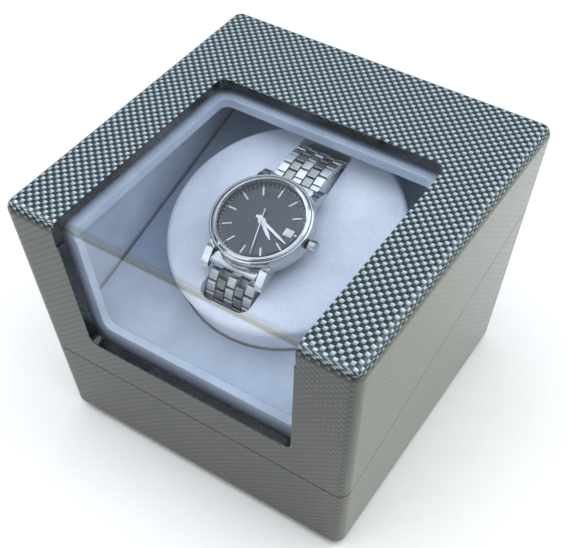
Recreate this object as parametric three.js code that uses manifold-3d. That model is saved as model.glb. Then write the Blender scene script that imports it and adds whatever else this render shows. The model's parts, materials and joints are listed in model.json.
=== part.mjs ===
// Watch winder box: a wooden box with a slanting lid joint, an L-shaped clear window,
// a motor-driven plush turntable and a wristwatch on its holder.
// Millimetres, +Z up, front of the box towards -Y, standing on z = 0.

import * as THREE from 'three';
import { mergeVertices } from 'three/addons/utils/BufferGeometryUtils.js';
import Module from 'manifold-3d';

const wasm = await Module();
wasm.setup();

// ---------------------------------------------------------------- box
const BOX_WIDTH = 145;
const BOX_DEPTH = 145;
const BOX_HEIGHT = 118;
const FOOT_STAND = 1;
const SIDE_TAPER = 0.066;
const EDGE_ROUND = 4;
const CORNER_ROUND = 5;
const ROUND_STEPS = 3;
const CORNER_STEPS = 4;

const PARTING_FRONT_HEIGHT = 40.3;
const PARTING_TILT = THREE.MathUtils.degToRad(16.5);
const PARTING_GAP = 0.5;

// ---------------------------------------------------------------- hollow and lid
const SIDE_WALL_AT_HOLLOW = 13.5;
const FRONT_WALL_AT_SILL = 10.095;
const LIP = 4.1;
const PANE = 2;
const REST_GAP = 0.1;
const FIT_GAP = 0.3;
const LID_SWING_GAP = 1.5;
const FRAME_TOP = 4;
const FRAME_FRONT = 3.2;
const FRAME_SIDE = 2.5;
const FRAME_REVEAL_SIDE = 2.6;
const FRAME_REVEAL_BOTTOM = 4.6;
const CEILING_WALL = LIP + PANE + 0.6;
const LINING = 0.9;

const WINDOW_SIDE_BORDER = 23.5;
const WINDOW_BACK_BORDER = 44.5;
const WINDOW_FRONT_SILL = 55.8;
const WINDOW_ROUND = 3.5;
const PANE_OVERLAP = 3.6;
const PANE_BEND_OUTER = 2;
const PANE_BEND_INNER = 4;

// ---------------------------------------------------------------- base insides
const BOTTOM_PANEL = 3.8;
const BOTTOM_PANEL_INSET = 4.8;
const FOOT_RADIUS = 6;
const FOOT_THICK = 1.9;
const FOOT_INSET = 16;
const SCREW_SIDES = 8;
const BOTTOM_SCREW_RADIUS = 1.5;
const BOTTOM_SCREW_LENGTH = 12;
const BOTTOM_SCREW_HEAD = 3;
const BOTTOM_SCREW_INSET = 7.5;
const BOTTOM_SCREW_SPREAD = 0.6;
const BOTTOM_SCREW_CLEAR = 0.15;
const RAIL_WIDTH = 10;
const COLLAR_WALL = 2.5;
const DECK = 3;
const DECK_LEVEL = 12.4;
const MOUNT_PLATE = 3;
const MOUNT_PLATE_LEVEL = -19;

// ---------------------------------------------------------------- turntable
const AXIS_Y = 5.5;
const PAD_RADIUS = 46.5;
const PAD_FACE = 28;
const PAD_THICK = 5;
const SKIRT_INSIDE_PAD = 1.4;
const SKIRT_WALL = 1;
const CUP_WALL = 1.8;
const CUP_FLOOR_TOP = -8.5;
const CUP_FLOOR = 2.5;
const CUP_BOSS_RADIUS = 7;
const CUP_BOSS = 1.8;
const SLOT_END_GAP = 1.2;
const SLOT_SIDE_GAP = 0.9;
const SLOT_ROUND = 4.5;
const DECK_HOLE_GAP = 0.6;
const SHAFT_RADIUS = 3;
const SHAFT_RUNNING = 0.05;
const SHAFT_BOTTOM = -30;
const BUSH_FLANGE_RADIUS = 8;
const BUSH_FLANGE = 1;
const BUSH_RADIUS = 5.7;
const CLIP_RADIUS = 5;
const CLIP = 0.8;
const ROUND_SIDES = 40;

// ---------------------------------------------------------------- drive
const GEAR_MODULE = 1;
const GEAR_TEETH = 48;
const PINION_TEETH = 12;
const GEAR_FACE = 4;
const GEAR_BOTTOM = -17;
const PINION_EXTRA = 0.2;
const TOOTH_BACKLASH = 0.34;
const CENTRE_SLACK = 0.1;
const PRESSURE_ANGLE = THREE.MathUtils.degToRad(20);
const MOTOR_SHAFT_RADIUS = 1.5;
const MOTOR_SHAFT_REACH = 4;
const GEARBOX_RADIUS = 12.5;
const GEARBOX_HEIGHT = 11.5;
const MOTOR_RADIUS = 10;
const MOTOR_HEIGHT = 17.5;
const MOTOR_HOLE = 4;

// ---------------------------------------------------------------- electrics
const REAR_PANEL_HEIGHT_AT = 30;
const REAR_PANEL_HALF_WIDTH = 22;
const REAR_PANEL_HALF_HEIGHT = 9;
const REAR_PANEL = 2;
const REAR_CUT_HALF_WIDTH = 19;
const REAR_CUT_HALF_HEIGHT = 6.2;
const JACK_X = 12;
const JACK_RADIUS = 4.5;
const JACK_FLANGE_RADIUS = 6;
const JACK_FLANGE = 1;
const JACK_DEPTH = 12;
const JACK_BORE = 2.8;
const JACK_BORE_DEPTH = 9;
const JACK_PIN = 0.9;
const SWITCH_X = -10;
const SWITCH_TRAVEL = 3;
const SWITCH_KNOB = 3.4;
const SWITCH_KNOB_HEIGHT = 2.8;
const SWITCH_KNOB_PROUD = 2;
const SWITCH_BODY = [14, 6.7, 8];
const BOARD_SIZE = [36, 30, 1.6];
const BOARD_CENTRE = [-22, -18];
const BOARD_LIFT = 3;

// ---------------------------------------------------------------- hinge and magnets
const HINGE_LENGTH = 60;
const HINGE_KNUCKLES = 5;
const KNUCKLE_RADIUS = 2;
const KNUCKLE_GAP = 0.2;
const HINGE_PIN_RADIUS = 1;
const HINGE_PIN_RUNNING = 0.05;
const HINGE_AXIS_OUT = 2.4;
const LEAF = 1.2;
const LEAF_HEIGHT = 13;
const LEAF_RELIEF = 2.7;
const HINGE_SCREW_X = 20;
const HINGE_SCREW_Z = 7.8;
const HINGE_SCREW_RADIUS = 1.1;
const HINGE_SCREW_LENGTH = 8;
const HINGE_SCREW_HEAD = 2.2;
const MAGNET_RADIUS = 3;
const MAGNET = 2;
const MAGNET_X = 40;
const MAGNET_FROM_FRONT = 4.4;

// ---------------------------------------------------------------- cushion and watch
const CUSHION_HALF_LENGTH = 36;
const CUSHION_TOP = 31.2;
const CUSHION_BOTTOM = -4.5;
const CUSHION_ROUND = 16;
const CUSHION_INSIDE_BAND = 0.3;
const CUSHION_ARC_STEPS = 6;
const WATCH_X = -3.3;
const WATCH_Y = -7.8;
const WATCH_LIFT = 0.3;
const CASE_RADIUS = 20;
const CASE_BORE = 16.9;
const CASE_BACK = 1.4;
const CASE_BOTTOM = 1.5;
const CASE_TOP = 8.1;
const BEZEL_RADIUS = 19.5;
const BEZEL_BORE = 16.6;
const BEZEL_TOP = 9.8;
const CRYSTAL_RADIUS = 16.4;
const CRYSTAL = 1.3;
const DIAL_RADIUS = 16.7;
const DIAL_LEVEL = 6.8;
const DIAL = 0.4;
const DIAL_HOLE = 1.8;
const INDEX_LENGTH = 3.4;
const INDEX_WIDTH = 0.6;
const INDEX_OUTER = 15.4;
const INDEX_PROUD = 0.25;
const MOVEMENT_RADIUS = 16.2;
const MOVEMENT_BOTTOM = 3.4;
const MOVEMENT_TOP = 6;
const WEIGHT_RADIUS = 15;
const WEIGHT_BOTTOM = 2;
const WEIGHT_TOP = 3.1;
const WATCH_SIDES = 36;
const LUG_INNER = 10.3;
const LUG_OUTER = 13.4;
const LUG_BEYOND_CASE = 3.6;
const BAND_WIDTH = 20;
const BAND_THICK = 2.8;
const BAND_LIFT = 0.3;
const BAND_ROWS_UPPER = 19;
const BAND_ROWS_LOWER = 16;
const BAND_NOTCH = 0.6;
const BAND_NOTCH_RUN = 0.3;
const CROWN_RADIUS = 2.4;
const CROWN_LENGTH = 2.9;
const CROWN_OFF_CASE = 0.4;
const CROWN_LEVEL = 4.9;
const CROWN_RIDGES = 18;
const STEM_RADIUS = 0.6;
const STEM_CLEAR = 0.15;

// hands: reach from the centre, tail, width, bottom level, thickness, tube radius, tube bore
const HOUR_HAND = { reach: 9.2, tail: 2.6, width: 1.3, level: 7.2, thick: 0.2, tube: 1.5, bore: 1.1 };
const MINUTE_HAND = { reach: 14.2, tail: 3, width: 1.1, level: 7.6, thick: 0.2, tube: 1, bore: 0.5 };
const SECOND_HAND = { reach: 14.6, tail: 5, width: 0.4, level: 8, thick: 0.15, tube: 0.42, bore: 0 };
const HOUR_AT = 4.3;
const MINUTE_AT = 18.3;
const SECOND_AT = 27.4;

// ---------------------------------------------------------------- derived places
const taperAngle = Math.atan(SIDE_TAPER);
const frontY = (z) => -(BOX_DEPTH / 2 - SIDE_TAPER * (BOX_HEIGHT - z));
const backY = (z) => -frontY(z);
const hollowHalfX = BOX_WIDTH / 2 - SIDE_WALL_AT_HOLLOW;
const hollowFront = frontY(WINDOW_FRONT_SILL) + FRONT_WALL_AT_SILL;
const hollowBack = BOX_DEPTH / 2 - SIDE_WALL_AT_HOLLOW;
const insertHalfX = hollowHalfX - LID_SWING_GAP;
const insertFront = hollowFront + LID_SWING_GAP - 0.1;
const insertBack = hollowBack - LID_SWING_GAP - 0.4;
const ceiling = BOX_HEIGHT - CEILING_WALL;
const panelTop = FOOT_STAND + 0.2 + BOTTOM_PANEL;
const skirtRadius = PAD_RADIUS - SKIRT_INSIDE_PAD;
const cupRadius = skirtRadius - SKIRT_WALL - REST_GAP;
const slotHalfWidth = BAND_WIDTH / 2 + SLOT_SIDE_GAP;
const slotHalfLength = CUSHION_HALF_LENGTH + BAND_LIFT + BAND_THICK + SLOT_END_GAP;
const lugReach = CASE_RADIUS + LUG_BEYOND_CASE;
const crownStart = CASE_RADIUS + CROWN_OFF_CASE;
const centreDistance = GEAR_MODULE * (GEAR_TEETH + PINION_TEETH) / 2 + CENTRE_SLACK;
const gearboxTop = MOUNT_PLATE_LEVEL - MOUNT_PLATE - 0.2;

const slope = Math.tan(PARTING_TILT);
const partingZ = (y) => PARTING_FRONT_HEIGHT + (y - frontY(PARTING_FRONT_HEIGHT)) * slope;
const axisZ = partingZ(AXIS_Y);
const partingBack = (() => {
  let z = BOX_HEIGHT / 2;
  for (let step = 0; step < 20; step += 1) {
    z = partingZ(backY(z));
  }
  return { y: backY(z), z };
})();

const driveMatrix = new THREE.Matrix4().makeRotationX(PARTING_TILT).setPosition(0, AXIS_Y, axisZ);
const hingeMatrix = new THREE.Matrix4().makeRotationX(-taperAngle)
  .setPosition(0, partingBack.y, partingBack.z);
const rearMatrix = new THREE.Matrix4().makeRotationX(-taperAngle)
  .setPosition(0, backY(REAR_PANEL_HEIGHT_AT), REAR_PANEL_HEIGHT_AT);

// ---------------------------------------------------------------- solids
function toSolid(geometry) {
  const bare = geometry.clone();
  bare.deleteAttribute('normal');
  bare.deleteAttribute('uv');
  const merged = mergeVertices(bare, 1e-4);
  const index = Uint32Array.from(merged.index.array);
  const vertProperties = Float32Array.from(merged.attributes.position.array);
  let solid = new wasm.Manifold(new wasm.Mesh({ numProp: 3, vertProperties, triVerts: index }));
  if (solid.volume() < 0) {
    for (let i = 0; i < index.length; i += 3) {
      [index[i], index[i + 1]] = [index[i + 1], index[i]];
    }
    solid = new wasm.Manifold(new wasm.Mesh({ numProp: 3, vertProperties, triVerts: index }));
  }
  return solid;
}

function toGeometry(solid) {
  const mesh = solid.getMesh();
  const geometry = new THREE.BufferGeometry();
  geometry.setAttribute('position', new THREE.BufferAttribute(Float32Array.from(mesh.vertProperties), 3));
  geometry.setIndex(new THREE.BufferAttribute(Uint32Array.from(mesh.triVerts), 1));
  geometry.computeVertexNormals();
  return geometry;
}

function cut(solid, ...cutters) {
  return cutters.reduce((rest, cutter) => rest.subtract(cutter), solid);
}

function join(...solids) {
  return solids.reduce((whole, solid) => whole.add(solid));
}

function box(low, high, matrix) {
  const geometry = new THREE.BoxGeometry(high[0] - low[0], high[1] - low[1], high[2] - low[2]);
  geometry.translate((low[0] + high[0]) / 2, (low[1] + high[1]) / 2, (low[2] + high[2]) / 2);
  if (matrix) {
    geometry.applyMatrix4(matrix);
  }
  return toSolid(geometry);
}

// a cylinder along 'x', 'y' or 'z' from one level to another, centred on the two other coordinates
function rod(radius, from, to, axis = 'z', at = [0, 0], sides = 24, matrix = null) {
  const geometry = new THREE.CylinderGeometry(radius, radius, to - from, sides);
  const middle = (from + to) / 2;
  if (axis === 'x') {
    geometry.rotateZ(-Math.PI / 2).translate(middle, at[0], at[1]);
  } else if (axis === 'y') {
    geometry.translate(at[0], middle, at[1]);
  } else {
    geometry.rotateX(Math.PI / 2).translate(at[0], at[1], middle);
  }
  if (matrix) {
    geometry.applyMatrix4(matrix);
  }
  return toSolid(geometry);
}

// a turned shape about z; the profile is a closed ring of [radius, level] or starts and ends on the axis
function turned(profile, sides = ROUND_SIDES) {
  const onAxis = profile[0][0] === 0;
  const points = profile.map(([r, z]) => new THREE.Vector2(r, z));
  if (!onAxis) {
    points.push(points[0].clone());
  }
  const geometry = new THREE.LatheGeometry(points, sides);
  geometry.rotateX(Math.PI / 2);
  return toSolid(geometry);
}

// a shape given in x and y, extruded upwards between two levels
function raised(shape, from, to) {
  const settings = { depth: to - from, bevelEnabled: false, curveSegments: 6 };
  const geometry = new THREE.ExtrudeGeometry(shape, settings);
  geometry.translate(0, 0, from);
  return toSolid(geometry);
}

// a side profile given as [y, z] points, extruded across the box from one x to another
function across(points, fromX, toX) {
  const shape = new THREE.Shape(points.map(([y, z]) => new THREE.Vector2(y, z)));
  const geometry = new THREE.ExtrudeGeometry(shape, { depth: toX - fromX, bevelEnabled: false });
  const basis = new THREE.Matrix4().makeBasis(
    new THREE.Vector3(0, 1, 0), new THREE.Vector3(0, 0, 1), new THREE.Vector3(1, 0, 0));
  geometry.applyMatrix4(basis);
  geometry.translate(fromX, 0, 0);
  return toSolid(geometry);
}

// a front view given as [x, z] points, extruded through the depth from one y to another
function through(points, fromY, toY) {
  const shape = new THREE.Shape(points.map(([x, z]) => new THREE.Vector2(x, z)));
  const geometry = new THREE.ExtrudeGeometry(shape, { depth: toY - fromY, bevelEnabled: false });
  geometry.rotateX(Math.PI / 2);
  geometry.translate(0, toY, 0);
  return toSolid(geometry);
}

function roundedRectangle(halfX, fromY, toY, radius) {
  const shape = new THREE.Shape();
  shape.moveTo(-halfX + radius, fromY);
  shape.lineTo(halfX - radius, fromY);
  shape.absarc(halfX - radius, fromY + radius, radius, -Math.PI / 2, 0, false);
  shape.lineTo(halfX, toY - radius);
  shape.absarc(halfX - radius, toY - radius, radius, 0, Math.PI / 2, false);
  shape.lineTo(-halfX + radius, toY);
  shape.absarc(-halfX + radius, toY - radius, radius, Math.PI / 2, Math.PI, false);
  shape.lineTo(-halfX, fromY + radius);
  shape.absarc(-halfX + radius, fromY + radius, radius, Math.PI, Math.PI * 1.5, false);
  return shape;
}

function arcPoints(centreA, centreB, radius, fromAngle, toAngle, steps) {
  const points = [];
  for (let i = 0; i <= steps; i += 1) {
    const angle = fromAngle + (toAngle - fromAngle) * (i / steps);
    points.push([centreA + radius * Math.cos(angle), centreB + radius * Math.sin(angle)]);
  }
  return points;
}

// the space between two planes parallel to the parting plane, inside an upright box
function slantedSlab(halfX, fromY, toY, fromLevel, toLevel) {
  const far = BOX_WIDTH * 2;
  const upright = box([-halfX, fromY, -far], [halfX, toY, far]);
  const slab = box([-far, -far, fromLevel], [far, far, toLevel], driveMatrix);
  return upright.intersect(slab);
}

// ---------------------------------------------------------------- meshes
const winder = new THREE.Group();
winder.name = 'watch_winder_box';
const drive = new THREE.Group();
drive.name = 'turntable_frame';
drive.applyMatrix4(driveMatrix);
const hinge = new THREE.Group();
hinge.name = 'hinge_frame';
hinge.applyMatrix4(hingeMatrix);
const rear = new THREE.Group();
rear.name = 'rear_panel_frame';
rear.applyMatrix4(rearMatrix);
const watch = new THREE.Group();
watch.name = 'watch_frame';
watch.position.set(WATCH_X, WATCH_Y, CUSHION_TOP + WATCH_LIFT);
drive.add(watch);
winder.add(drive, hinge, rear);

function material(color, roughness, metalness, opacity = 1) {
  return new THREE.MeshStandardMaterial({
    color, roughness, metalness, opacity, transparent: opacity < 1,
  });
}

const look = {
  lacquer: () => material(0x5c6c74, 0.25, 0),
  clear: () => material(0xdfe6ee, 0.05, 0, 0.25),
  plush: () => material(0xb9c3dc, 0.95, 0),
  board: () => material(0x9a8466, 0.8, 0),
  wood: () => material(0xb08d5e, 0.7, 0),
  plastic: () => material(0x1f2226, 0.45, 0),
  paleplastic: () => material(0xd8d6cf, 0.5, 0),
  rubber: () => material(0x26282a, 0.9, 0),
  steel: () => material(0xc9cccd, 0.25, 1),
  satin: () => material(0xb4b7b9, 0.45, 1),
  brass: () => material(0xc2a35a, 0.35, 1),
  nylon: () => material(0xe9e6dc, 0.5, 0),
  circuit: () => material(0x23613f, 0.5, 0),
  dial: () => material(0x17181b, 0.3, 0.2),
  magnet: () => material(0x9ea2a6, 0.3, 1),
};

function addPart(parent, name, solid, kind) {
  const mesh = new THREE.Mesh(toGeometry(solid), look[kind]());
  mesh.name = name;
  parent.add(mesh);
}

// ---------------------------------------------------------------- box shells
function taperedBlock() {
  const halfX = BOX_WIDTH / 2 - EDGE_ROUND;
  const halfY = BOX_DEPTH / 2 - EDGE_ROUND;
  const height = BOX_HEIGHT - FOOT_STAND;
  const shape = roundedRectangle(halfX, -halfY, halfY, CORNER_ROUND - EDGE_ROUND);
  const geometry = new THREE.ExtrudeGeometry(shape, {
    depth: height - 2 * EDGE_ROUND,
    bevelEnabled: true,
    bevelThickness: EDGE_ROUND,
    bevelSize: EDGE_ROUND,
    bevelSegments: ROUND_STEPS,
    curveSegments: CORNER_STEPS,
  });
  geometry.translate(0, 0, FOOT_STAND + EDGE_ROUND);
  const position = geometry.attributes.position;
  for (let i = 0; i < position.count; i += 1) {
    const inset = SIDE_TAPER * (BOX_HEIGHT - position.getZ(i));
    position.setX(i, position.getX(i) * (1 - inset / (BOX_WIDTH / 2)));
    position.setY(i, position.getY(i) * (1 - inset / (BOX_DEPTH / 2)));
  }
  return toSolid(geometry);
}

function windowCut() {
  const halfX = BOX_WIDTH / 2 - WINDOW_SIDE_BORDER;
  const backEdge = BOX_DEPTH / 2 - WINDOW_BACK_BORDER;
  const topShape = roundedRectangle(halfX, -BOX_DEPTH, backEdge, WINDOW_ROUND);
  const top = raised(topShape, ceiling - FRAME_TOP, BOX_HEIGHT + 5);
  const sillHalf = halfX - SIDE_TAPER * (BOX_HEIGHT - WINDOW_FRONT_SILL);
  const sill = WINDOW_FRONT_SILL + WINDOW_ROUND;
  const right = sillHalf - WINDOW_ROUND;
  const front = through([
    [-halfX, BOX_HEIGHT + 5],
    ...arcPoints(-right, sill, WINDOW_ROUND, Math.PI, Math.PI * 1.5, CORNER_STEPS),
    ...arcPoints(right, sill, WINDOW_ROUND, Math.PI * 1.5, Math.PI * 2, CORNER_STEPS),
    [halfX, BOX_HEIGHT + 5],
  ], -BOX_DEPTH, hollowFront + 1);
  return join(top, front);
}

// the bent pane seen from the side; grow widens it all round for its seat
function paneProfile(grow) {
  const lean = 1 / Math.cos(taperAngle);
  const outerZ = BOX_HEIGHT - LIP - REST_GAP + grow;
  const innerZ = BOX_HEIGHT - LIP - REST_GAP - PANE - grow;
  const outer = (z) => frontY(z) + (LIP + REST_GAP - grow) * lean;
  const inner = (z) => frontY(z) + (LIP + REST_GAP + PANE + grow) * lean;
  const back = BOX_DEPTH / 2 - WINDOW_BACK_BORDER + PANE_OVERLAP + grow;
  const low = WINDOW_FRONT_SILL - PANE_OVERLAP - grow;
  const bendOut = PANE_BEND_OUTER;
  const bendIn = PANE_BEND_INNER;
  return [
    [back, innerZ],
    [back, outerZ],
    ...arcPoints(outer(outerZ - bendOut) + bendOut, outerZ - bendOut, bendOut,
      Math.PI / 2, Math.PI, ROUND_STEPS),
    [outer(low), low],
    [inner(low), low],
    ...arcPoints(inner(innerZ - bendIn) + bendIn, innerZ - bendIn, bendIn,
      Math.PI, Math.PI / 2, ROUND_STEPS + 1),
  ];
}

const paneHalfX = BOX_WIDTH / 2 - WINDOW_SIDE_BORDER + PANE_OVERLAP;
const frameLow = WINDOW_FRONT_SILL - PANE_OVERLAP - 2.4;

function paneSeat() {
  const halfX = paneHalfX + FIT_GAP;
  const back = BOX_DEPTH / 2 - WINDOW_BACK_BORDER + PANE_OVERLAP + REST_GAP;
  const under = box([-halfX, hollowFront, ceiling - 1], [halfX, back, BOX_HEIGHT - LIP - PANE]);
  return join(across(paneProfile(REST_GAP), -halfX, halfX), under);
}

// the space behind the pane in the front wall, where the lining frame lies
function frameSeat(inFromFront, low, halfX) {
  const lean = 1 / Math.cos(taperAngle);
  const face = (z) => frontY(z) + inFromFront * lean;
  return across([
    [face(low), low],
    [hollowFront + 6, low],
    [hollowFront + 6, ceiling],
    [face(ceiling), ceiling],
  ], -halfX, halfX);
}

const frameFace = LIP + PANE + 3 * REST_GAP;

function magnetPlace(y) {
  return (y - AXIS_Y) / Math.cos(PARTING_TILT);
}

function magnetRod(side, radius, from, to) {
  const y = magnetPlace(frontY(PARTING_FRONT_HEIGHT) + MAGNET_FROM_FRONT);
  return rod(radius, from, to, 'z', [side * MAGNET_X, y], 20, driveMatrix);
}

const magnetNear = PARTING_GAP / 2 + REST_GAP;
const magnetFar = magnetNear + MAGNET;

// upper is 1 for the lid and -1 for the base
function magnet(side, upper) {
  const levels = [upper * magnetNear, upper * magnetFar].sort((a, b) => a - b);
  return magnetRod(side, MAGNET_RADIUS, ...levels);
}

function magnetPocket(side, upper) {
  const levels = [0, upper * (magnetFar + REST_GAP)].sort((a, b) => a - b);
  return magnetRod(side, MAGNET_RADIUS + REST_GAP, ...levels);
}

function hingeScrewHole(side, upper) {
  return rod(HINGE_SCREW_RADIUS + 0.1, -HINGE_SCREW_LENGTH - 0.5, 1, 'y',
    [side * HINGE_SCREW_X, upper * HINGE_SCREW_Z], SCREW_SIDES, hingeMatrix);
}

function lidShell() {
  const far = BOX_WIDTH * 2;
  const above = box([-far, -far, PARTING_GAP / 2], [far, far, far], driveMatrix);
  const hollow = box([-hollowHalfX, hollowFront, 0], [hollowHalfX, hollowBack, ceiling]);
  return cut(
    taperedBlock().intersect(above), hollow, windowCut(), paneSeat(),
    frameSeat(LIP + PANE - REST_GAP, frameLow, hollowHalfX - FRAME_SIDE),
    magnetPocket(-1, 1), magnetPocket(1, 1),
    hingeScrewHole(-1, 1), hingeScrewHole(1, 1),
  );
}

function rearCut() {
  return join(
    box([-REAR_CUT_HALF_WIDTH, -30, -REAR_CUT_HALF_HEIGHT],
      [REAR_CUT_HALF_WIDTH, 5, REAR_CUT_HALF_HEIGHT], rearMatrix),
    box([-REAR_PANEL_HALF_WIDTH - 0.2, -REAR_PANEL - 0.1, -REAR_PANEL_HALF_HEIGHT - 0.2],
      [REAR_PANEL_HALF_WIDTH + 0.2, 5, REAR_PANEL_HALF_HEIGHT + 0.2], rearMatrix),
  );
}

const baseHollowHalfX = insertHalfX + FIT_GAP;
const panelHalf = BOX_WIDTH / 2 - SIDE_TAPER * BOX_HEIGHT - BOTTOM_PANEL_INSET;

function baseShell() {
  const far = BOX_WIDTH * 2;
  const below = box([-far, -far, -far], [far, far, -PARTING_GAP / 2], driveMatrix);
  const hollow = box([-baseHollowHalfX, insertFront - FIT_GAP, -1],
    [baseHollowHalfX, insertBack + FIT_GAP, BOX_HEIGHT]);
  const rebate = box([-panelHalf - FIT_GAP, -panelHalf - FIT_GAP, -1],
    [panelHalf + FIT_GAP, panelHalf + FIT_GAP, panelTop + REST_GAP]);
  return cut(
    taperedBlock().intersect(below), hollow, rebate, rearCut(),
    magnetPocket(-1, -1), magnetPocket(1, -1),
    hingeScrewHole(-1, -1), hingeScrewHole(1, -1),
  );
}

// ---------------------------------------------------------------- lid contents
function windowPane() {
  return across(paneProfile(0), -paneHalfX, paneHalfX);
}

function windowFrame() {
  const halfX = BOX_WIDTH / 2 - WINDOW_SIDE_BORDER - FRAME_REVEAL_SIDE;
  const backEdge = BOX_DEPTH / 2 - WINDOW_BACK_BORDER - FRAME_REVEAL_SIDE;
  const top = ceiling - REST_GAP;
  const low = top - FRAME_TOP;
  const narrow = hollowHalfX - FRAME_SIDE - REST_GAP;
  const plate = join(
    box([-hollowHalfX + 0.2, hollowFront + 0.2, low], [hollowHalfX - 0.2, hollowBack - 0.2, top]),
    box([-narrow, -BOX_DEPTH / 2, low], [narrow, hollowFront + 2, top]),
  );
  const frontOuter = frameSeat(frameFace, frameLow + REST_GAP, narrow);
  const lean = 1 / Math.cos(taperAngle);
  const inner = (z) => frontY(z) + (frameFace + FRAME_FRONT) * lean;
  const behind = across([
    [inner(-50), -50],
    [hollowFront + 40, -50],
    [hollowFront + 40, top - FRAME_TOP],
    [inner(top - FRAME_TOP), top - FRAME_TOP],
  ], -BOX_WIDTH, BOX_WIDTH);
  const lid = box([-BOX_WIDTH, -BOX_DEPTH, -1], [BOX_WIDTH, BOX_DEPTH, top]);
  const topShape = roundedRectangle(halfX, -BOX_DEPTH, backEdge, WINDOW_ROUND);
  const topOpening = raised(topShape, top - FRAME_TOP - 1, BOX_HEIGHT);
  const sill = WINDOW_FRONT_SILL + FRAME_REVEAL_BOTTOM;
  const sillHalf = halfX - SIDE_TAPER * (BOX_HEIGHT - sill);
  const frontOpening = through([
    [-halfX, BOX_HEIGHT],
    ...arcPoints(-sillHalf + WINDOW_ROUND, sill + WINDOW_ROUND, WINDOW_ROUND,
      Math.PI, Math.PI * 1.5, CORNER_STEPS),
    ...arcPoints(sillHalf - WINDOW_ROUND, sill + WINDOW_ROUND, WINDOW_ROUND,
      Math.PI * 1.5, Math.PI * 2, CORNER_STEPS),
    [halfX, BOX_HEIGHT],
  ], -BOX_DEPTH, hollowFront + 8);
  const corner = cut(frontOuter, behind).intersect(lid);
  const frontSkin = cut(plate, frontKeep());
  return cut(join(frontSkin, corner), topOpening, frontOpening,
    across(paneProfile(REST_GAP), -paneHalfX - FIT_GAP, paneHalfX + FIT_GAP));
}

// everything in front of the lining frame's own front face
function frontKeep() {
  const lean = 1 / Math.cos(taperAngle);
  const face = (z) => frontY(z) + frameFace * lean;
  return across([
    [-BOX_DEPTH, -50],
    [face(-50), -50],
    [face(BOX_HEIGHT), BOX_HEIGHT],
    [-BOX_DEPTH, BOX_HEIGHT],
  ], -BOX_WIDTH, BOX_WIDTH);
}

function lidLining() {
  const top = ceiling - FRAME_TOP - 2 * REST_GAP;
  const outer = box([-hollowHalfX + REST_GAP, hollowFront + 7, 0],
    [hollowHalfX - REST_GAP, hollowBack - REST_GAP, top]);
  const inner = box([-hollowHalfX + REST_GAP + LINING, -BOX_DEPTH, -1],
    [hollowHalfX - REST_GAP - LINING, hollowBack - REST_GAP - LINING, BOX_HEIGHT]);
  const above = slantedSlab(BOX_WIDTH, -BOX_DEPTH, BOX_DEPTH, DECK_LEVEL + 1, BOX_HEIGHT);
  return cut(outer, inner).intersect(above);
}

// ---------------------------------------------------------------- base contents
const footPlaces = [
  ['front_left', -1, -1], ['front_right', 1, -1], ['back_left', -1, 1], ['back_right', 1, 1],
];

function bottomScrewPlace(sx, sy) {
  const at = panelHalf - BOTTOM_SCREW_INSET;
  return [sx * at, sy * at * BOTTOM_SCREW_SPREAD];
}

function bottomPanel() {
  const low = panelTop - BOTTOM_PANEL;
  const cutters = [];
  for (const [, sx, sy] of footPlaces) {
    const foot = panelHalf - FOOT_INSET;
    cutters.push(rod(FOOT_RADIUS + 0.2, -1, FOOT_THICK + 0.1, 'z', [sx * foot, sy * foot], 20));
    const place = bottomScrewPlace(sx, sy);
    cutters.push(rod(BOTTOM_SCREW_RADIUS + BOTTOM_SCREW_CLEAR, -1, 9, 'z', place, SCREW_SIDES));
    cutters.push(rod(BOTTOM_SCREW_HEAD + 0.2, -1, low + 1.5, 'z', place, 12));
  }
  return cut(box([-panelHalf, -panelHalf, low], [panelHalf, panelHalf, panelTop]), ...cutters);
}

function foot(sx, sy) {
  const at = panelHalf - FOOT_INSET;
  return rod(FOOT_RADIUS, 0, FOOT_THICK, 'z', [sx * at, sy * at], 20);
}

function bottomScrew(sx, sy) {
  const low = panelTop - BOTTOM_PANEL + 0.1;
  const place = bottomScrewPlace(sx, sy);
  const whole = join(
    rod(BOTTOM_SCREW_HEAD, low, low + 1.3, 'z', place, 12),
    rod(BOTTOM_SCREW_RADIUS, low, low + BOTTOM_SCREW_LENGTH, 'z', place, SCREW_SIDES),
  );
  const [x, y] = place;
  return cut(whole, box([x - 2.2, y - 0.35, low - 1], [x + 2.2, y + 0.35, low + 0.6]));
}

function rail(side) {
  const outerX = insertHalfX;
  const innerX = insertHalfX - RAIL_WIDTH;
  const low = side > 0 ? innerX : -outerX;
  const block = box([low, insertFront + 0.2, panelTop + REST_GAP],
    [low + RAIL_WIDTH, insertBack - 0.2, BOX_HEIGHT]);
  const under = slantedSlab(BOX_WIDTH, -BOX_DEPTH, BOX_DEPTH, -BOX_HEIGHT,
    MOUNT_PLATE_LEVEL - MOUNT_PLATE - REST_GAP);
  const holes = [-1, 1].map((sy) => rod(BOTTOM_SCREW_RADIUS + BOTTOM_SCREW_CLEAR, 0, BOTTOM_SCREW_LENGTH + 3,
    'z', bottomScrewPlace(side, sy), SCREW_SIDES));
  return cut(block.intersect(under), ...holes);
}

function mountPlate() {
  const plate = slantedSlab(insertHalfX, insertFront, insertBack,
    MOUNT_PLATE_LEVEL - MOUNT_PLATE, MOUNT_PLATE_LEVEL);
  const low = MOUNT_PLATE_LEVEL - 10;
  const high = MOUNT_PLATE_LEVEL + 10;
  return cut(plate,
    rod(BUSH_RADIUS + REST_GAP, low, high, 'z', [0, 0], 24, driveMatrix),
    rod(MOTOR_HOLE, low, high, 'z', [centreDistance, 0], 20, driveMatrix));
}

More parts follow.
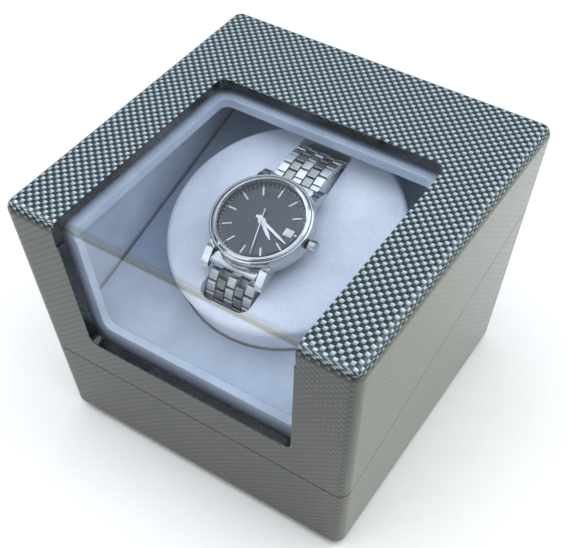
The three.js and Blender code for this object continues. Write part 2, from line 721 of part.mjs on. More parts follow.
function collar() {
  const outer = slantedSlab(insertHalfX, insertFront, insertBack,
    MOUNT_PLATE_LEVEL + REST_GAP, DECK_LEVEL - DECK - REST_GAP);
  const inner = box([-insertHalfX + COLLAR_WALL, insertFront + COLLAR_WALL, -1],
    [insertHalfX - COLLAR_WALL, insertBack - COLLAR_WALL, BOX_HEIGHT]);
  return cut(outer, inner);
}

function deck() {
  const plate = slantedSlab(insertHalfX, insertFront, insertBack, DECK_LEVEL - DECK, DECK_LEVEL);
  return cut(plate, rod(skirtRadius + DECK_HOLE_GAP, 0, 2 * DECK_LEVEL, 'z', [0, 0], 48, driveMatrix));
}

function circuitBoard() {
  const [sizeX, sizeY, thick] = BOARD_SIZE;
  const [cx, cy] = BOARD_CENTRE;
  const low = panelTop + BOARD_LIFT;
  const legs = [[-1, -1], [1, -1], [-1, 1], [1, 1]].map(([sx, sy]) => rod(1.6,
    panelTop + REST_GAP, low + 0.5, 'z', [cx + sx * (sizeX / 2 - 3), cy + sy * (sizeY / 2 - 3)], 10));
  return join(
    box([cx - sizeX / 2, cy - sizeY / 2, low], [cx + sizeX / 2, cy + sizeY / 2, low + thick]),
    ...legs,
    box([cx - 6, cy - 4, low + thick - 0.5], [cx + 6, cy + 4, low + thick + 2]),
    rod(3, low + thick - 0.5, low + thick + 6, 'z', [cx + 12, cy + 6], 16),
  );
}

// ---------------------------------------------------------------- turntable
function turntableCup() {
  const floorLow = CUP_FLOOR_TOP - CUP_FLOOR;
  const inside = cupRadius - CUP_WALL;
  const cup = turned([
    [0, floorLow - CUP_BOSS],
    [CUP_BOSS_RADIUS, floorLow - CUP_BOSS],
    [CUP_BOSS_RADIUS, floorLow],
    [cupRadius, floorLow],
    [cupRadius, PAD_FACE - PAD_THICK - 0.2],
    [inside, PAD_FACE - PAD_THICK - 0.2],
    [inside, CUP_FLOOR_TOP],
    [0, CUP_FLOOR_TOP],
  ]);
  return cut(cup, rod(SHAFT_RADIUS + SHAFT_RUNNING, floorLow - CUP_BOSS - 1, CUP_FLOOR_TOP - 0.6, 'z'));
}

function turntablePad() {
  const low = PAD_FACE - PAD_THICK;
  const pad = turned([
    [0, low],
    [cupRadius + REST_GAP, low],
    [cupRadius + REST_GAP, DECK_LEVEL + 0.8],
    [skirtRadius, DECK_LEVEL + 0.8],
    [skirtRadius, low - 0.4],
    [PAD_RADIUS - 0.3, low + 0.6],
    [PAD_RADIUS, low + 2.4],
    [PAD_RADIUS - 0.5, low + 4],
    [PAD_RADIUS - 1.7, low + 4.8],
    [PAD_RADIUS - 3, PAD_FACE],
    [0, PAD_FACE],
  ], 48);
  const slotShape = roundedRectangle(slotHalfWidth, -slotHalfLength, slotHalfLength, SLOT_ROUND);
  return cut(pad, raised(slotShape, low - 5, PAD_FACE + 5).translate([WATCH_X, 0, 0]));
}

function turntableShaft() {
  return rod(SHAFT_RADIUS, SHAFT_BOTTOM, CUP_FLOOR_TOP - 0.7, 'z');
}

function shaftBush() {
  const low = MOUNT_PLATE_LEVEL - MOUNT_PLATE - 0.4;
  const bush = join(
    rod(BUSH_FLANGE_RADIUS, MOUNT_PLATE_LEVEL + REST_GAP, MOUNT_PLATE_LEVEL + REST_GAP + BUSH_FLANGE, 'z'),
    rod(BUSH_RADIUS, low, MOUNT_PLATE_LEVEL + BUSH_FLANGE, 'z'),
  );
  return cut(bush, rod(SHAFT_RADIUS + SHAFT_RUNNING, low - 5, MOUNT_PLATE_LEVEL + 5, 'z'));
}

function shaftClip() {
  const top = MOUNT_PLATE_LEVEL - MOUNT_PLATE - 0.6;
  return cut(rod(CLIP_RADIUS, top - CLIP, top, 'z'),
    rod(SHAFT_RADIUS + SHAFT_RUNNING, top - 3, top + 1, 'z'));
}

// ---------------------------------------------------------------- gears and motor

function gearShape(teeth, turn) {
  const pitch = GEAR_MODULE * teeth / 2;
  const base = pitch * Math.cos(PRESSURE_ANGLE);
  const outer = pitch + GEAR_MODULE * 0.95;
  const root = pitch - GEAR_MODULE * 1.25;
  const involute = (angle) => Math.tan(angle) - angle;
  const halfAtPitch = Math.PI / (2 * teeth) - TOOTH_BACKLASH / (4 * pitch);
  const halfAt = (r) => {
    const angle = Math.acos(Math.min(1, base / Math.max(r, base)));
    return halfAtPitch + involute(PRESSURE_ANGLE) - involute(angle);
  };
  const radii = [Math.max(base, root + 0.2), pitch, outer];
  const points = [];
  for (let tooth = 0; tooth < teeth; tooth += 1) {
    const middle = turn + tooth * 2 * Math.PI / teeth;
    const rising = radii.map((r) => [r, middle - halfAt(r)]);
    const falling = [...radii].reverse().map((r) => [r, middle + halfAt(r)]);
    const foot = middle - Math.PI / teeth;
    points.push(new THREE.Vector2(root * Math.cos(foot), root * Math.sin(foot)));
    for (const [r, angle] of [...rising, ...falling]) {
      points.push(new THREE.Vector2(r * Math.cos(angle), r * Math.sin(angle)));
    }
  }
  return new THREE.Shape(points);
}

function driveGear() {
  const wheel = raised(gearShape(GEAR_TEETH, 0), GEAR_BOTTOM, GEAR_BOTTOM + GEAR_FACE);
  return cut(wheel, rod(SHAFT_RADIUS + SHAFT_RUNNING, GEAR_BOTTOM - 1, GEAR_BOTTOM + 9, 'z'));
}

function motorPinion() {
  const low = GEAR_BOTTOM - PINION_EXTRA;
  const high = GEAR_BOTTOM + GEAR_FACE + PINION_EXTRA;
  const teeth = raised(gearShape(PINION_TEETH, Math.PI / PINION_TEETH), low, high);
  return join(teeth, rod(MOTOR_SHAFT_RADIUS, gearboxTop - MOTOR_SHAFT_REACH, high, 'z', [0, 0], 16));
}

function gearbox() {
  return cut(
    rod(GEARBOX_RADIUS, gearboxTop - GEARBOX_HEIGHT, gearboxTop, 'z'),
    rod(MOTOR_SHAFT_RADIUS + SHAFT_RUNNING, gearboxTop - MOTOR_SHAFT_REACH - 0.5, gearboxTop + 1, 'z',
      [0, 0], 16),
  );
}

function motorCan() {
  const top = gearboxTop - GEARBOX_HEIGHT - 0.2;
  return join(rod(MOTOR_RADIUS, top - MOTOR_HEIGHT, top, 'z'),
    rod(3, top - MOTOR_HEIGHT - 1.5, top - MOTOR_HEIGHT + 1, 'z', [0, 0], 16));
}

// ---------------------------------------------------------------- rear panel
function rearPanel() {
  const plate = box([-REAR_PANEL_HALF_WIDTH, -REAR_PANEL, -REAR_PANEL_HALF_HEIGHT],
    [REAR_PANEL_HALF_WIDTH, 0, REAR_PANEL_HALF_HEIGHT]);
  const slotHalf = SWITCH_KNOB / 2 + SWITCH_TRAVEL + 0.4;
  const slotHigh = SWITCH_KNOB_HEIGHT / 2 + 0.3;
  return cut(plate,
    rod(JACK_RADIUS + 0.2, -5, 5, 'y', [JACK_X, 0]),
    box([SWITCH_X - slotHalf, -5, -slotHigh], [SWITCH_X + slotHalf, 5, slotHigh]));
}

function powerJack() {
  const outside = REST_GAP + JACK_FLANGE;
  const body = join(
    rod(JACK_RADIUS, -JACK_DEPTH, outside, 'y', [JACK_X, 0]),
    rod(JACK_FLANGE_RADIUS, REST_GAP, outside, 'y', [JACK_X, 0]),
  );
  const bored = cut(body, rod(JACK_BORE, outside - JACK_BORE_DEPTH, outside + 1, 'y', [JACK_X, 0], 20));
  return join(bored, rod(JACK_PIN, outside - JACK_BORE_DEPTH - 1, outside - 1.5, 'y', [JACK_X, 0], 12));
}

function switchBody() {
  const [sx, sy, sz] = SWITCH_BODY;
  const front = -REAR_PANEL - 0.3;
  return box([SWITCH_X - sx / 2, front - sy, -sz / 2], [SWITCH_X + sx / 2, front, sz / 2]);
}

function switchKnob() {
  return box([SWITCH_X - SWITCH_KNOB / 2, -REAR_PANEL - 0.2, -SWITCH_KNOB_HEIGHT / 2],
    [SWITCH_X + SWITCH_KNOB / 2, SWITCH_KNOB_PROUD, SWITCH_KNOB_HEIGHT / 2]);
}

// ---------------------------------------------------------------- hinge
// upper is 1 for the lid's leaf and -1 for the base's
function hingeLeaf(upper) {
  const half = HINGE_LENGTH / 2;
  const pitch = HINGE_LENGTH / HINGE_KNUCKLES;
  const low = upper > 0 ? 0 : -LEAF_HEIGHT;
  let leaf = box([-half, 0.2, low], [half, 0.2 + LEAF, low + LEAF_HEIGHT]);
  for (let i = 0; i < HINGE_KNUCKLES; i += 1) {
    const own = (i % 2 === 0) === (upper < 0);
    const from = -half + i * pitch;
    if (own) {
      leaf = join(leaf, rod(KNUCKLE_RADIUS, from + KNUCKLE_GAP, from + pitch - KNUCKLE_GAP, 'x',
        [HINGE_AXIS_OUT, 0], 20));
    } else {
      leaf = cut(leaf, box([from - 0.1, -1, -LEAF_RELIEF], [from + pitch + 0.1, 3, LEAF_RELIEF]));
    }
  }
  const holes = [-1, 1].map((side) => rod(HINGE_SCREW_RADIUS + 0.15, -1, 4, 'y',
    [side * HINGE_SCREW_X, upper * HINGE_SCREW_Z], 12));
  return cut(leaf, ...holes,
    rod(HINGE_PIN_RADIUS + HINGE_PIN_RUNNING, -half - 1, half + 1, 'x', [HINGE_AXIS_OUT, 0], 16));
}

function hingePin() {
  const half = HINGE_LENGTH / 2;
  return join(
    rod(HINGE_PIN_RADIUS, -half - 0.2, half + 0.2, 'x', [HINGE_AXIS_OUT, 0], 16),
    rod(KNUCKLE_RADIUS - 0.4, -half - 1, -half - 0.1, 'x', [HINGE_AXIS_OUT, 0], 16),
    rod(KNUCKLE_RADIUS - 0.4, half + 0.1, half + 1, 'x', [HINGE_AXIS_OUT, 0], 16),
  );
}

function hingeScrew(side, upper) {
  const place = [side * HINGE_SCREW_X, upper * HINGE_SCREW_Z];
  const face = 0.2 + LEAF + REST_GAP;
  const whole = join(
    rod(HINGE_SCREW_RADIUS, -HINGE_SCREW_LENGTH, face, 'y', place, SCREW_SIDES),
    rod(HINGE_SCREW_HEAD, face, face + 0.9, 'y', place, 14),
  );
  const [x, z] = place;
  return cut(whole, box([x - 1.7, face + 0.4, z - 0.25], [x + 1.7, face + 2, z + 0.25]));
}

// ---------------------------------------------------------------- cushion and bracelet
const cushionMiddle = (CUSHION_TOP + CUSHION_BOTTOM) / 2;
const straightTop = CUSHION_HALF_LENGTH - CUSHION_ROUND;
const straightEnd = (CUSHION_TOP - CUSHION_BOTTOM) / 2 - CUSHION_ROUND;
const quarter = CUSHION_ROUND * Math.PI / 2;
const loopLength = 4 * (straightTop + quarter + straightEnd);

// a place on the cushion's outline, measured from its top centre towards +y, and moved outwards
function loopAt(distance, outwards) {
  const half = loopLength / 2;
  const lowerHalf = distance > half;
  const s = lowerHalf ? distance - half : distance;
  let y;
  let z;
  const spans = [straightTop, quarter, 2 * straightEnd, quarter, straightTop];
  const reach = CUSHION_ROUND + outwards;
  if (s <= spans[0]) {
    [y, z] = [s, straightEnd + reach];
  } else if (s <= spans[0] + spans[1]) {
    const angle = Math.PI / 2 - (s - spans[0]) / CUSHION_ROUND;
    [y, z] = [straightTop + reach * Math.cos(angle), straightEnd + reach * Math.sin(angle)];
  } else if (s <= spans[0] + spans[1] + spans[2]) {
    [y, z] = [straightTop + reach, straightEnd - (s - spans[0] - spans[1])];
  } else if (s <= half - spans[4]) {
    const angle = -(s - spans[0] - spans[1] - spans[2]) / CUSHION_ROUND;
    [y, z] = [straightTop + reach * Math.cos(angle), -straightEnd + reach * Math.sin(angle)];
  } else {
    [y, z] = [half - s, -straightEnd - reach];
  }
  return lowerHalf ? [-y, cushionMiddle - z] : [y, cushionMiddle + z];
}

function cushion() {
  const outline = [];
  for (const [sy, sz, start] of [[1, 1, 0], [-1, 1, 1], [-1, -1, 2], [1, -1, 3]]) {
    outline.push(...arcPoints(sy * straightTop, cushionMiddle + sz * straightEnd, CUSHION_ROUND,
      start * Math.PI / 2, (start + 1) * Math.PI / 2, CUSHION_ARC_STEPS));
  }
  const halfWidth = BAND_WIDTH / 2 - CUSHION_INSIDE_BAND;
  return across(outline, WATCH_X - halfWidth, WATCH_X + halfWidth);
}

function bracelet(from, to, rows) {
  const pitch = (to - from) / rows;
  const outer = [];
  const inner = [];
  const top = BAND_LIFT + BAND_THICK;
  for (let row = 0; row < rows; row += 1) {
    const start = from + row * pitch;
    outer.push(loopAt(start, top - BAND_NOTCH));
    outer.push(loopAt(start + BAND_NOTCH_RUN, top));
    outer.push(loopAt(start + pitch - BAND_NOTCH_RUN, top));
    inner.push(loopAt(start, BAND_LIFT));
  }
  outer.push(loopAt(to, top - BAND_NOTCH));
  inner.push(loopAt(to, BAND_LIFT));
  const points = [...outer, ...inner.reverse()];
  return across(points, WATCH_X - BAND_WIDTH / 2, WATCH_X + BAND_WIDTH / 2);
}

const bandUpperStart = WATCH_Y + CASE_RADIUS + 0.4;
const bandLowerEnd = loopLength - straightTop
  - CUSHION_ROUND * Math.asin((CASE_RADIUS + 0.4 - WATCH_Y - straightTop) / CUSHION_ROUND);

// ---------------------------------------------------------------- watch
function watchCase() {
  const ring = turned([
    [CASE_BORE, CASE_BOTTOM],
    [CASE_RADIUS - 1, CASE_BOTTOM],
    [CASE_RADIUS, CASE_BOTTOM + 1.4],
    [CASE_RADIUS, CASE_TOP - 2],
    [CASE_RADIUS - 0.5, CASE_TOP],
    [CASE_BORE, CASE_TOP],
  ], WATCH_SIDES);
  let whole = ring;
  for (const side of [-1, 1]) {
    for (const end of [-1, 1]) {
      const low = side > 0 ? LUG_INNER : -LUG_OUTER;
      const lug = across([
        [end * (CASE_RADIUS - 8), 1.6],
        [end * (CASE_RADIUS - 8), 6.6],
        [end * (CASE_RADIUS - 2), 6.2],
        [end * (lugReach - 1), 3.4],
        [end * lugReach, 1.2],
        [end * (lugReach - 1.4), 0.7],
        [end * (CASE_RADIUS - 1), 0.9],
      ], low, low + LUG_OUTER - LUG_INNER);
      whole = join(whole, lug);
    }
  }
  const clearBore = rod(CASE_BORE, CASE_BOTTOM - 2, CASE_TOP + 1, 'z', [0, 0], WATCH_SIDES);
  return cut(whole, clearBore,
    rod(CASE_BORE + 1.5, -1, CASE_BOTTOM, 'z', [0, 0], WATCH_SIDES),
    rod(STEM_RADIUS + STEM_CLEAR, MOVEMENT_RADIUS - 6, CASE_RADIUS + 10, 'x', [0, CROWN_LEVEL], 12));
}

function watchDial() {
  let dial = rod(DIAL_RADIUS, DIAL_LEVEL - DIAL, DIAL_LEVEL, 'z', [0, 0], WATCH_SIDES);
  for (let hour = 0; hour < 12; hour += 1) {
    const short = hour === 3 ? INDEX_LENGTH * 0.35 : INDEX_LENGTH;
    const bar = new THREE.BoxGeometry(INDEX_WIDTH, short, INDEX_PROUD + 0.1);
    bar.translate(0, INDEX_OUTER - short / 2, DIAL_LEVEL + INDEX_PROUD / 2 - 0.05);
    bar.rotateZ(-hour * Math.PI / 6);
    dial = join(dial, toSolid(bar));
  }
  dial = join(dial, box([10.6, -1.3, DIAL_LEVEL - 0.1], [13.6, 1.3, DIAL_LEVEL + 0.15]));
  return cut(dial, rod(DIAL_HOLE, 0, 20, 'z', [0, 0], 16));
}

function watchHand(hand, turn) {
  const half = hand.width / 2;
  const shape = new THREE.Shape([
    new THREE.Vector2(-half, -hand.tail),
    new THREE.Vector2(half, -hand.tail),
    new THREE.Vector2(half, hand.reach * 0.7),
    new THREE.Vector2(half * 0.3, hand.reach),
    new THREE.Vector2(-half * 0.3, hand.reach),
    new THREE.Vector2(-half, hand.reach * 0.7),
  ]);
  const geometry = new THREE.ExtrudeGeometry(shape, { depth: hand.thick, bevelEnabled: false });
  geometry.translate(0, 0, hand.level);
  geometry.rotateZ(-turn * 2 * Math.PI);
  const top = hand.level + hand.thick;
  const whole = join(toSolid(geometry), rod(hand.tube, MOVEMENT_TOP + 0.1, top, 'z', [0, 0], 14));
  if (hand.bore === 0) {
    return whole;
  }
  return cut(whole, rod(hand.bore, MOVEMENT_TOP - 1, top + 1, 'z', [0, 0], 14));
}

function windingWeight() {
  const shape = new THREE.Shape();
  shape.absarc(0, 0, WEIGHT_RADIUS, Math.PI, Math.PI * 2, false);
  shape.lineTo(3, 0);
  shape.absarc(0, 0, 3, 0, Math.PI, false);
  shape.lineTo(-WEIGHT_RADIUS, 0);
  return raised(shape, WEIGHT_BOTTOM, WEIGHT_TOP);
}

function crownWheel() {
  const points = [];
  for (let i = 0; i < CROWN_RIDGES * 2; i += 1) {
    const radius = i % 2 === 0 ? CROWN_RADIUS : CROWN_RADIUS - 0.25;
    const angle = i * Math.PI / CROWN_RIDGES;
    points.push([radius * Math.cos(angle), CROWN_LEVEL + radius * Math.sin(angle)]);
  }
  const wheel = across(points, crownStart, crownStart + CROWN_LENGTH);
  return cut(wheel, rod(STEM_RADIUS + 0.05, crownStart - 1, crownStart + 2, 'x', [0, CROWN_LEVEL], 12));
}

function crownStem() {
  return rod(STEM_RADIUS, MOVEMENT_RADIUS + 0.2, crownStart + 1.8, 'x', [0, CROWN_LEVEL], 12);
}

// ---------------------------------------------------------------- assembly
addPart(winder, 'base_shell', baseShell(), 'lacquer');
addPart(winder, 'bottom_panel', bottomPanel(), 'board');
for (const [place, sx, sy] of footPlaces) {
  addPart(winder, `foot_${place}`, foot(sx, sy), 'rubber');
  addPart(winder, `bottom_screw_${place}`, bottomScrew(sx, sy), 'satin');
}
addPart(winder, 'rail_left', rail(-1), 'wood');
addPart(winder, 'rail_right', rail(1), 'wood');
addPart(winder, 'mount_plate', mountPlate(), 'board');
addPart(winder, 'collar', collar(), 'board');
addPart(winder, 'deck', deck(), 'plush');
addPart(winder, 'circuit_board', circuitBoard(), 'circuit');
for (const [name, side] of [['left', -1], ['right', 1]]) {
  addPart(winder, `base_magnet_${name}`, magnet(side, -1), 'magnet');
  addPart(winder, `lid_magnet_${name}`, magnet(side, 1), 'magnet');
}

addPart(winder, 'lid_shell', lidShell(), 'lacquer');
addPart(winder, 'window_pane', windowPane(), 'clear');
addPart(winder, 'window_frame', windowFrame(), 'plush');
addPart(winder, 'lid_lining', lidLining(), 'plush');

addPart(drive, 'shaft_bush', shaftBush(), 'brass');
addPart(drive, 'turntable_cup', turntableCup(), 'plastic');
addPart(drive, 'turntable_pad', turntablePad(), 'plush');
addPart(drive, 'turntable_shaft', turntableShaft(), 'steel');
addPart(drive, 'shaft_clip', shaftClip(), 'steel');
addPart(drive, 'drive_gear', driveGear(), 'nylon');

const motorFrame = new THREE.Group();
motorFrame.name = 'motor_frame';
motorFrame.position.set(centreDistance, 0, 0);
drive.add(motorFrame);
addPart(motorFrame, 'motor_pinion', motorPinion(), 'nylon');
addPart(motorFrame, 'gearbox', gearbox(), 'paleplastic');
addPart(motorFrame, 'motor_can', motorCan(), 'satin');

addPart(rear, 'rear_panel', rearPanel(), 'plastic');
addPart(rear, 'power_jack', powerJack(), 'plastic');
addPart(rear, 'switch_body', switchBody(), 'plastic');
addPart(rear, 'switch_knob', switchKnob(), 'plastic');

addPart(hinge, 'hinge_leaf_base', hingeLeaf(-1), 'satin');
addPart(hinge, 'hinge_leaf_lid', hingeLeaf(1), 'satin');
addPart(hinge, 'hinge_pin', hingePin(), 'steel');
for (const [name, side] of [['left', -1], ['right', 1]]) {
  addPart(hinge, `hinge_screw_base_${name}`, hingeScrew(side, -1), 'satin');
  addPart(hinge, `hinge_screw_lid_${name}`, hingeScrew(side, 1), 'satin');
}

addPart(drive, 'watch_cushion', cushion(), 'plush');
addPart(drive, 'bracelet_upper',
  bracelet(bandUpperStart, loopLength / 2 - 0.2, BAND_ROWS_UPPER), 'steel');
addPart(drive, 'bracelet_lower',
  bracelet(loopLength / 2 + 0.2, bandLowerEnd, BAND_ROWS_LOWER), 'steel');
addPart(watch, 'watch_case', watchCase(), 'steel');
addPart(watch, 'watch_case_back', rod(CASE_BORE + 1.3, 0, CASE_BACK, 'z', [0, 0], WATCH_SIDES), 'steel');
addPart(watch, 'watch_bezel', turned([
  [BEZEL_BORE, CASE_TOP + 0.1],
  [BEZEL_RADIUS, CASE_TOP + 0.1],
  [BEZEL_RADIUS - 0.5, CASE_TOP + 0.9],
  [BEZEL_BORE + 0.9, BEZEL_TOP],
  [BEZEL_BORE, BEZEL_TOP],
], WATCH_SIDES), 'steel');
addPart(watch, 'watch_crystal',
  rod(CRYSTAL_RADIUS, BEZEL_TOP - CRYSTAL, BEZEL_TOP, 'z', [0, 0], WATCH_SIDES), 'clear');
addPart(watch, 'watch_dial', watchDial(), 'dial');
addPart(watch, 'watch_movement',
  rod(MOVEMENT_RADIUS, MOVEMENT_BOTTOM, MOVEMENT_TOP, 'z', [0, 0], 24), 'brass');
addPart(watch, 'winding_weight', windingWeight(), 'brass');
addPart(watch, 'hour_hand', watchHand(HOUR_HAND, HOUR_AT / 12), 'steel');
addPart(watch, 'minute_hand', watchHand(MINUTE_HAND, MINUTE_AT / 60), 'steel');
addPart(watch, 'second_hand', watchHand(SECOND_HAND, SECOND_AT / 60), 'steel');
addPart(watch, 'crown', crownWheel(), 'steel');
addPart(watch, 'crown_stem', crownStem(), 'steel');

export default winder;
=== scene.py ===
"""Watch winder box: a lacquered box in two halves, a bent clear window, a plush turntable
that carries a cushion with a wristwatch, and the hinge and power panel at the back.
Sizes are in millimetres and become metres where a mesh is made."""

import json
import math

import bmesh
import bpy
from mathutils import Matrix, Vector


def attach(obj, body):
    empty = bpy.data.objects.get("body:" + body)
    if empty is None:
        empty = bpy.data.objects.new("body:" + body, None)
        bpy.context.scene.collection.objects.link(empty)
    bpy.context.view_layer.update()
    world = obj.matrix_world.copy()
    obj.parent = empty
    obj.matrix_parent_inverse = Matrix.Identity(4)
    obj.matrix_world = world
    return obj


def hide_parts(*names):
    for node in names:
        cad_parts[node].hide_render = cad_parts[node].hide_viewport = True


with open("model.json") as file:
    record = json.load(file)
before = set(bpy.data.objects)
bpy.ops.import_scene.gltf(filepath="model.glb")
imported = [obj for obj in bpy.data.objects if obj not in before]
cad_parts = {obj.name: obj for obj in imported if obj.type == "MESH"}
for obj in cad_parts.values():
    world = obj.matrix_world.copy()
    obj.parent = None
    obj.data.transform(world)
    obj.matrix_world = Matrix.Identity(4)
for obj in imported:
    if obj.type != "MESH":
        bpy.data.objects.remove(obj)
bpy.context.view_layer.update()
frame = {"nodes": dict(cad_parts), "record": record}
cad = frame["nodes"]
record = frame["record"]
body_of = {node: body for body, names in record["behaviour"]["bodies"].items() for node in names}

MM = 0.001

# ---------------------------------------------------------------- sizes
BOX = 145.0
BOX_TOP = 118.0
BOX_LOW = 1.0
TAPER = 0.066
EDGE_ROUND = 4.5
EDGE_SEGMENTS = 7
PARTING_TILT = math.radians(16.5)
PARTING_GAP = 0.14
AXIS_Y = 5.5
AXIS_Z = 61.8856

HOLLOW_X = 59.0
HOLLOW_FRONT = -58.3
HOLLOW_BACK = 59.0
CEILING = 111.3
LIP = 4.1
FRAME_DEPTH = 4.0
WINDOW_X = 49.0
WINDOW_BACK = 28.0
WINDOW_SILL = 55.8
WINDOW_ROUND = 3.5
SEAT_X = 52.9
SEAT_BACK = 31.7
SEAT_LOW = 52.1
FRAME_SEAT_X = 56.5
FRAME_SEAT_LOW = 49.8
FRAME_SEAT_DEPTH = 6.0

BASE_HOLLOW = ((-57.8, -57.2, 5.1), (57.8, 57.4, BOX_TOP))
BOARD_SEAT = ((-60.2, -60.2, -1), (60.2, 60.2, 5.2))
PANEL_RECESS = ((-22.2, -2.1, -9.2), (22.2, 5, 9.2))
PANEL_OPENING = ((-19, -30, -6.2), (19, 5, 6.2))
REAR_Y = 66.692
REAR_Z = 30

PAD_RADIUS = 46.5
PAD_FACE = 28.0
PAD_THICK = 5.0
SKIRT_RADIUS = 45.1
SKIRT_BORE = 44.1
SKIRT_LOW = 13.2
SLOT_X = 10.9
SLOT_Y = 40.3
SLOT_ROUND = 4.5

CUSHION_LENGTH = 36.0
CUSHION_X = 9.7
CUSHION_ROUND = 16.0
CUSHION_LOW = -4.5
CUSHION_HIGH = 31.2
CUSHION_SHRINK = (0.95, 0.975, 0.965)
SWELL_STEPS = 20
SWELL_LIMIT = 0.65

WATCH_X = -3.3
WATCH_Y = -7.8
WATCH_Z = 31.5
CASE_RADIUS = 20.0
DIAL_LEVEL = 6.8
CRYSTAL_TOP = 9.8
CRYSTAL_RADIUS = 16.4
DIAL_RADIUS = 16.6
BEZEL_RADIUS = 19.5
BEZEL_BORE = 16.65
END_LINK_GAP = 0.4
BAND_WIDTH = 20.0
BAND_COLUMNS = 5
LINK_THICK = 2.5
LINK_GAP = 0.26
BAND_LIFT = 0.35

DRIVE = Matrix.Translation((0, AXIS_Y * MM, AXIS_Z * MM)) @ Matrix.Rotation(PARTING_TILT, 4, "X")
WATCH = DRIVE @ Matrix.Translation((WATCH_X * MM, WATCH_Y * MM, WATCH_Z * MM))
TAPER_ANGLE = math.atan(TAPER)
REAR = Matrix.Translation((0, REAR_Y * MM, REAR_Z * MM)) @ Matrix.Rotation(-TAPER_ANGLE, 4, "X")


# ---------------------------------------------------------------- bench tools
def activate(piece):
    """Selects one piece and nothing else."""
    bpy.ops.object.select_all(action="DESELECT")
    piece.select_set(True)
    bpy.context.view_layer.objects.active = piece


def take(name):
    """Names the piece that an operator has just made, and settles its size and place in its mesh."""
    piece = bpy.context.object
    piece.name = name
    piece.data.name = name
    activate(piece)
    bpy.ops.object.transform_apply(location=True, rotation=True, scale=True)
    return piece


def block(name, low, high):
    """A box between two corners."""
    middle = [(a + b) / 2 * MM for a, b in zip(low, high)]
    bpy.ops.mesh.primitive_cube_add(size=1, location=middle)
    bpy.context.object.scale = [(b - a) * MM for a, b in zip(low, high)]
    return take(name)


def drum(name, radius, low, high, sides=64, at=(0, 0)):
    """An upright cylinder between two levels."""
    bpy.ops.mesh.primitive_cylinder_add(
        vertices=sides, radius=radius * MM, depth=(high - low) * MM,
        location=(at[0] * MM, at[1] * MM, (low + high) / 2 * MM))
    return take(name)


def pick(piece, kind, wanted):
    """Opens a piece in edit mode with only the faces, edges or vertices that pass the test selected."""
    activate(piece)
    bpy.ops.object.mode_set(mode="EDIT")
    bpy.ops.mesh.select_mode(type=kind)
    bpy.ops.mesh.select_all(action="DESELECT")
    mesh = bmesh.from_edit_mesh(piece.data)
    mesh.normal_update()
    items = {"FACE": mesh.faces, "EDGE": mesh.edges, "VERT": mesh.verts}[kind]
    for item in items:
        if wanted(item):
            item.select_set(True)
    mesh.select_flush_mode()
    bmesh.update_edit_mesh(piece.data)


def close():
    """Leaves edit mode."""
    bpy.ops.object.mode_set(mode="OBJECT")


def bevel(piece, wanted, width, segments=3):
    """Rounds the edges that pass the test."""
    pick(piece, "EDGE", wanted)
    bpy.ops.mesh.bevel(offset=width * MM, segments=segments, profile=0.5, affect="EDGES")
    close()


def change(piece, kind, **settings):
    """Adds a modifier and applies it."""
    activate(piece)
    modifier = piece.modifiers.new(kind.lower(), kind)
    for key, value in settings.items():
        setattr(modifier, key, value)
    bpy.ops.object.modifier_apply(modifier=modifier.name)
    return piece


def carve(piece, cutter, operation="DIFFERENCE"):
    """Cuts one piece with another and throws the cutter away."""
    change(piece, "BOOLEAN", object=cutter, operation=operation, solver="EXACT")
    bpy.data.objects.remove(cutter)
    return piece


def tidy(piece, merge=0.01, flat=0.4):
    """Merges doubled vertices and joins the flat triangles into whole faces."""
    pick(piece, "VERT", lambda v: True)
    bpy.ops.mesh.remove_doubles(threshold=merge * MM)
    bpy.ops.mesh.select_all(action="SELECT")
    bpy.ops.mesh.dissolve_limited(angle_limit=math.radians(flat), delimit={"MATERIAL"})
    close()
    return piece


def smooth(piece, angle=34, weighted=True):
    """Smooth shading that keeps the flat faces flat."""
    activate(piece)
    bpy.ops.object.shade_smooth_by_angle(angle=math.radians(angle))
    if weighted:
        change(piece, "WEIGHTED_NORMAL", keep_sharp=True, weight=60)
    return piece


def sharp(edge, angle=30):
    """True for an edge whose two faces meet at more than the angle."""
    return len(edge.link_faces) == 2 and edge.calc_face_angle(0) > math.radians(angle)


def copy_of(piece, name, matrix=None):
    """A copy with a mesh of its own, moved by a matrix."""
    twin = bpy.data.objects.new(name, piece.data.copy())
    bpy.context.scene.collection.objects.link(twin)
    if matrix is not None:
        twin.data.transform(matrix)
    return twin


def joined(name, pieces):
    """Makes one piece of several."""
    activate(pieces[0])
    for piece in pieces:
        piece.select_set(True)
    bpy.ops.object.join()
    pieces[0].name = name
    pieces[0].data.name = name
    return pieces[0]


def move(piece, matrix):
    """Moves a mesh inside its piece."""
    piece.data.transform(matrix)
    piece.data.update()
    return piece


def sink(piece, steps):
    """Works the top face of a drum inwards: each step insets it and then moves it up or down."""
    top = max(v.co.z for v in piece.data.vertices) - 1e-6
    pick(piece, "FACE", lambda f: f.normal.z > 0.9 and f.calc_center_median().z > top)
    for inwards, upwards in steps:
        if inwards > 0:
            bpy.ops.mesh.inset(thickness=inwards * MM, use_even_offset=True)
        else:
            bpy.ops.mesh.extrude_region_move()
        bpy.ops.transform.translate(value=(0, 0, upwards * MM))
    close()
    return piece


def finish_piece(piece, node, material, *others):
    """Puts a piece on the body of the CAD node it stands for, in its own material."""
    if material is not None:
        piece.data.materials.clear()
        piece.data.materials.append(material)
    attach(piece, body_of[node])
    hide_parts(node, *others)
    return piece


def add_on(piece, node, material):
    """Puts an extra piece on a CAD node's body."""
    if material is not None:
        piece.data.materials.clear()
        piece.data.materials.append(material)
    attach(piece, body_of[node])
    return piece


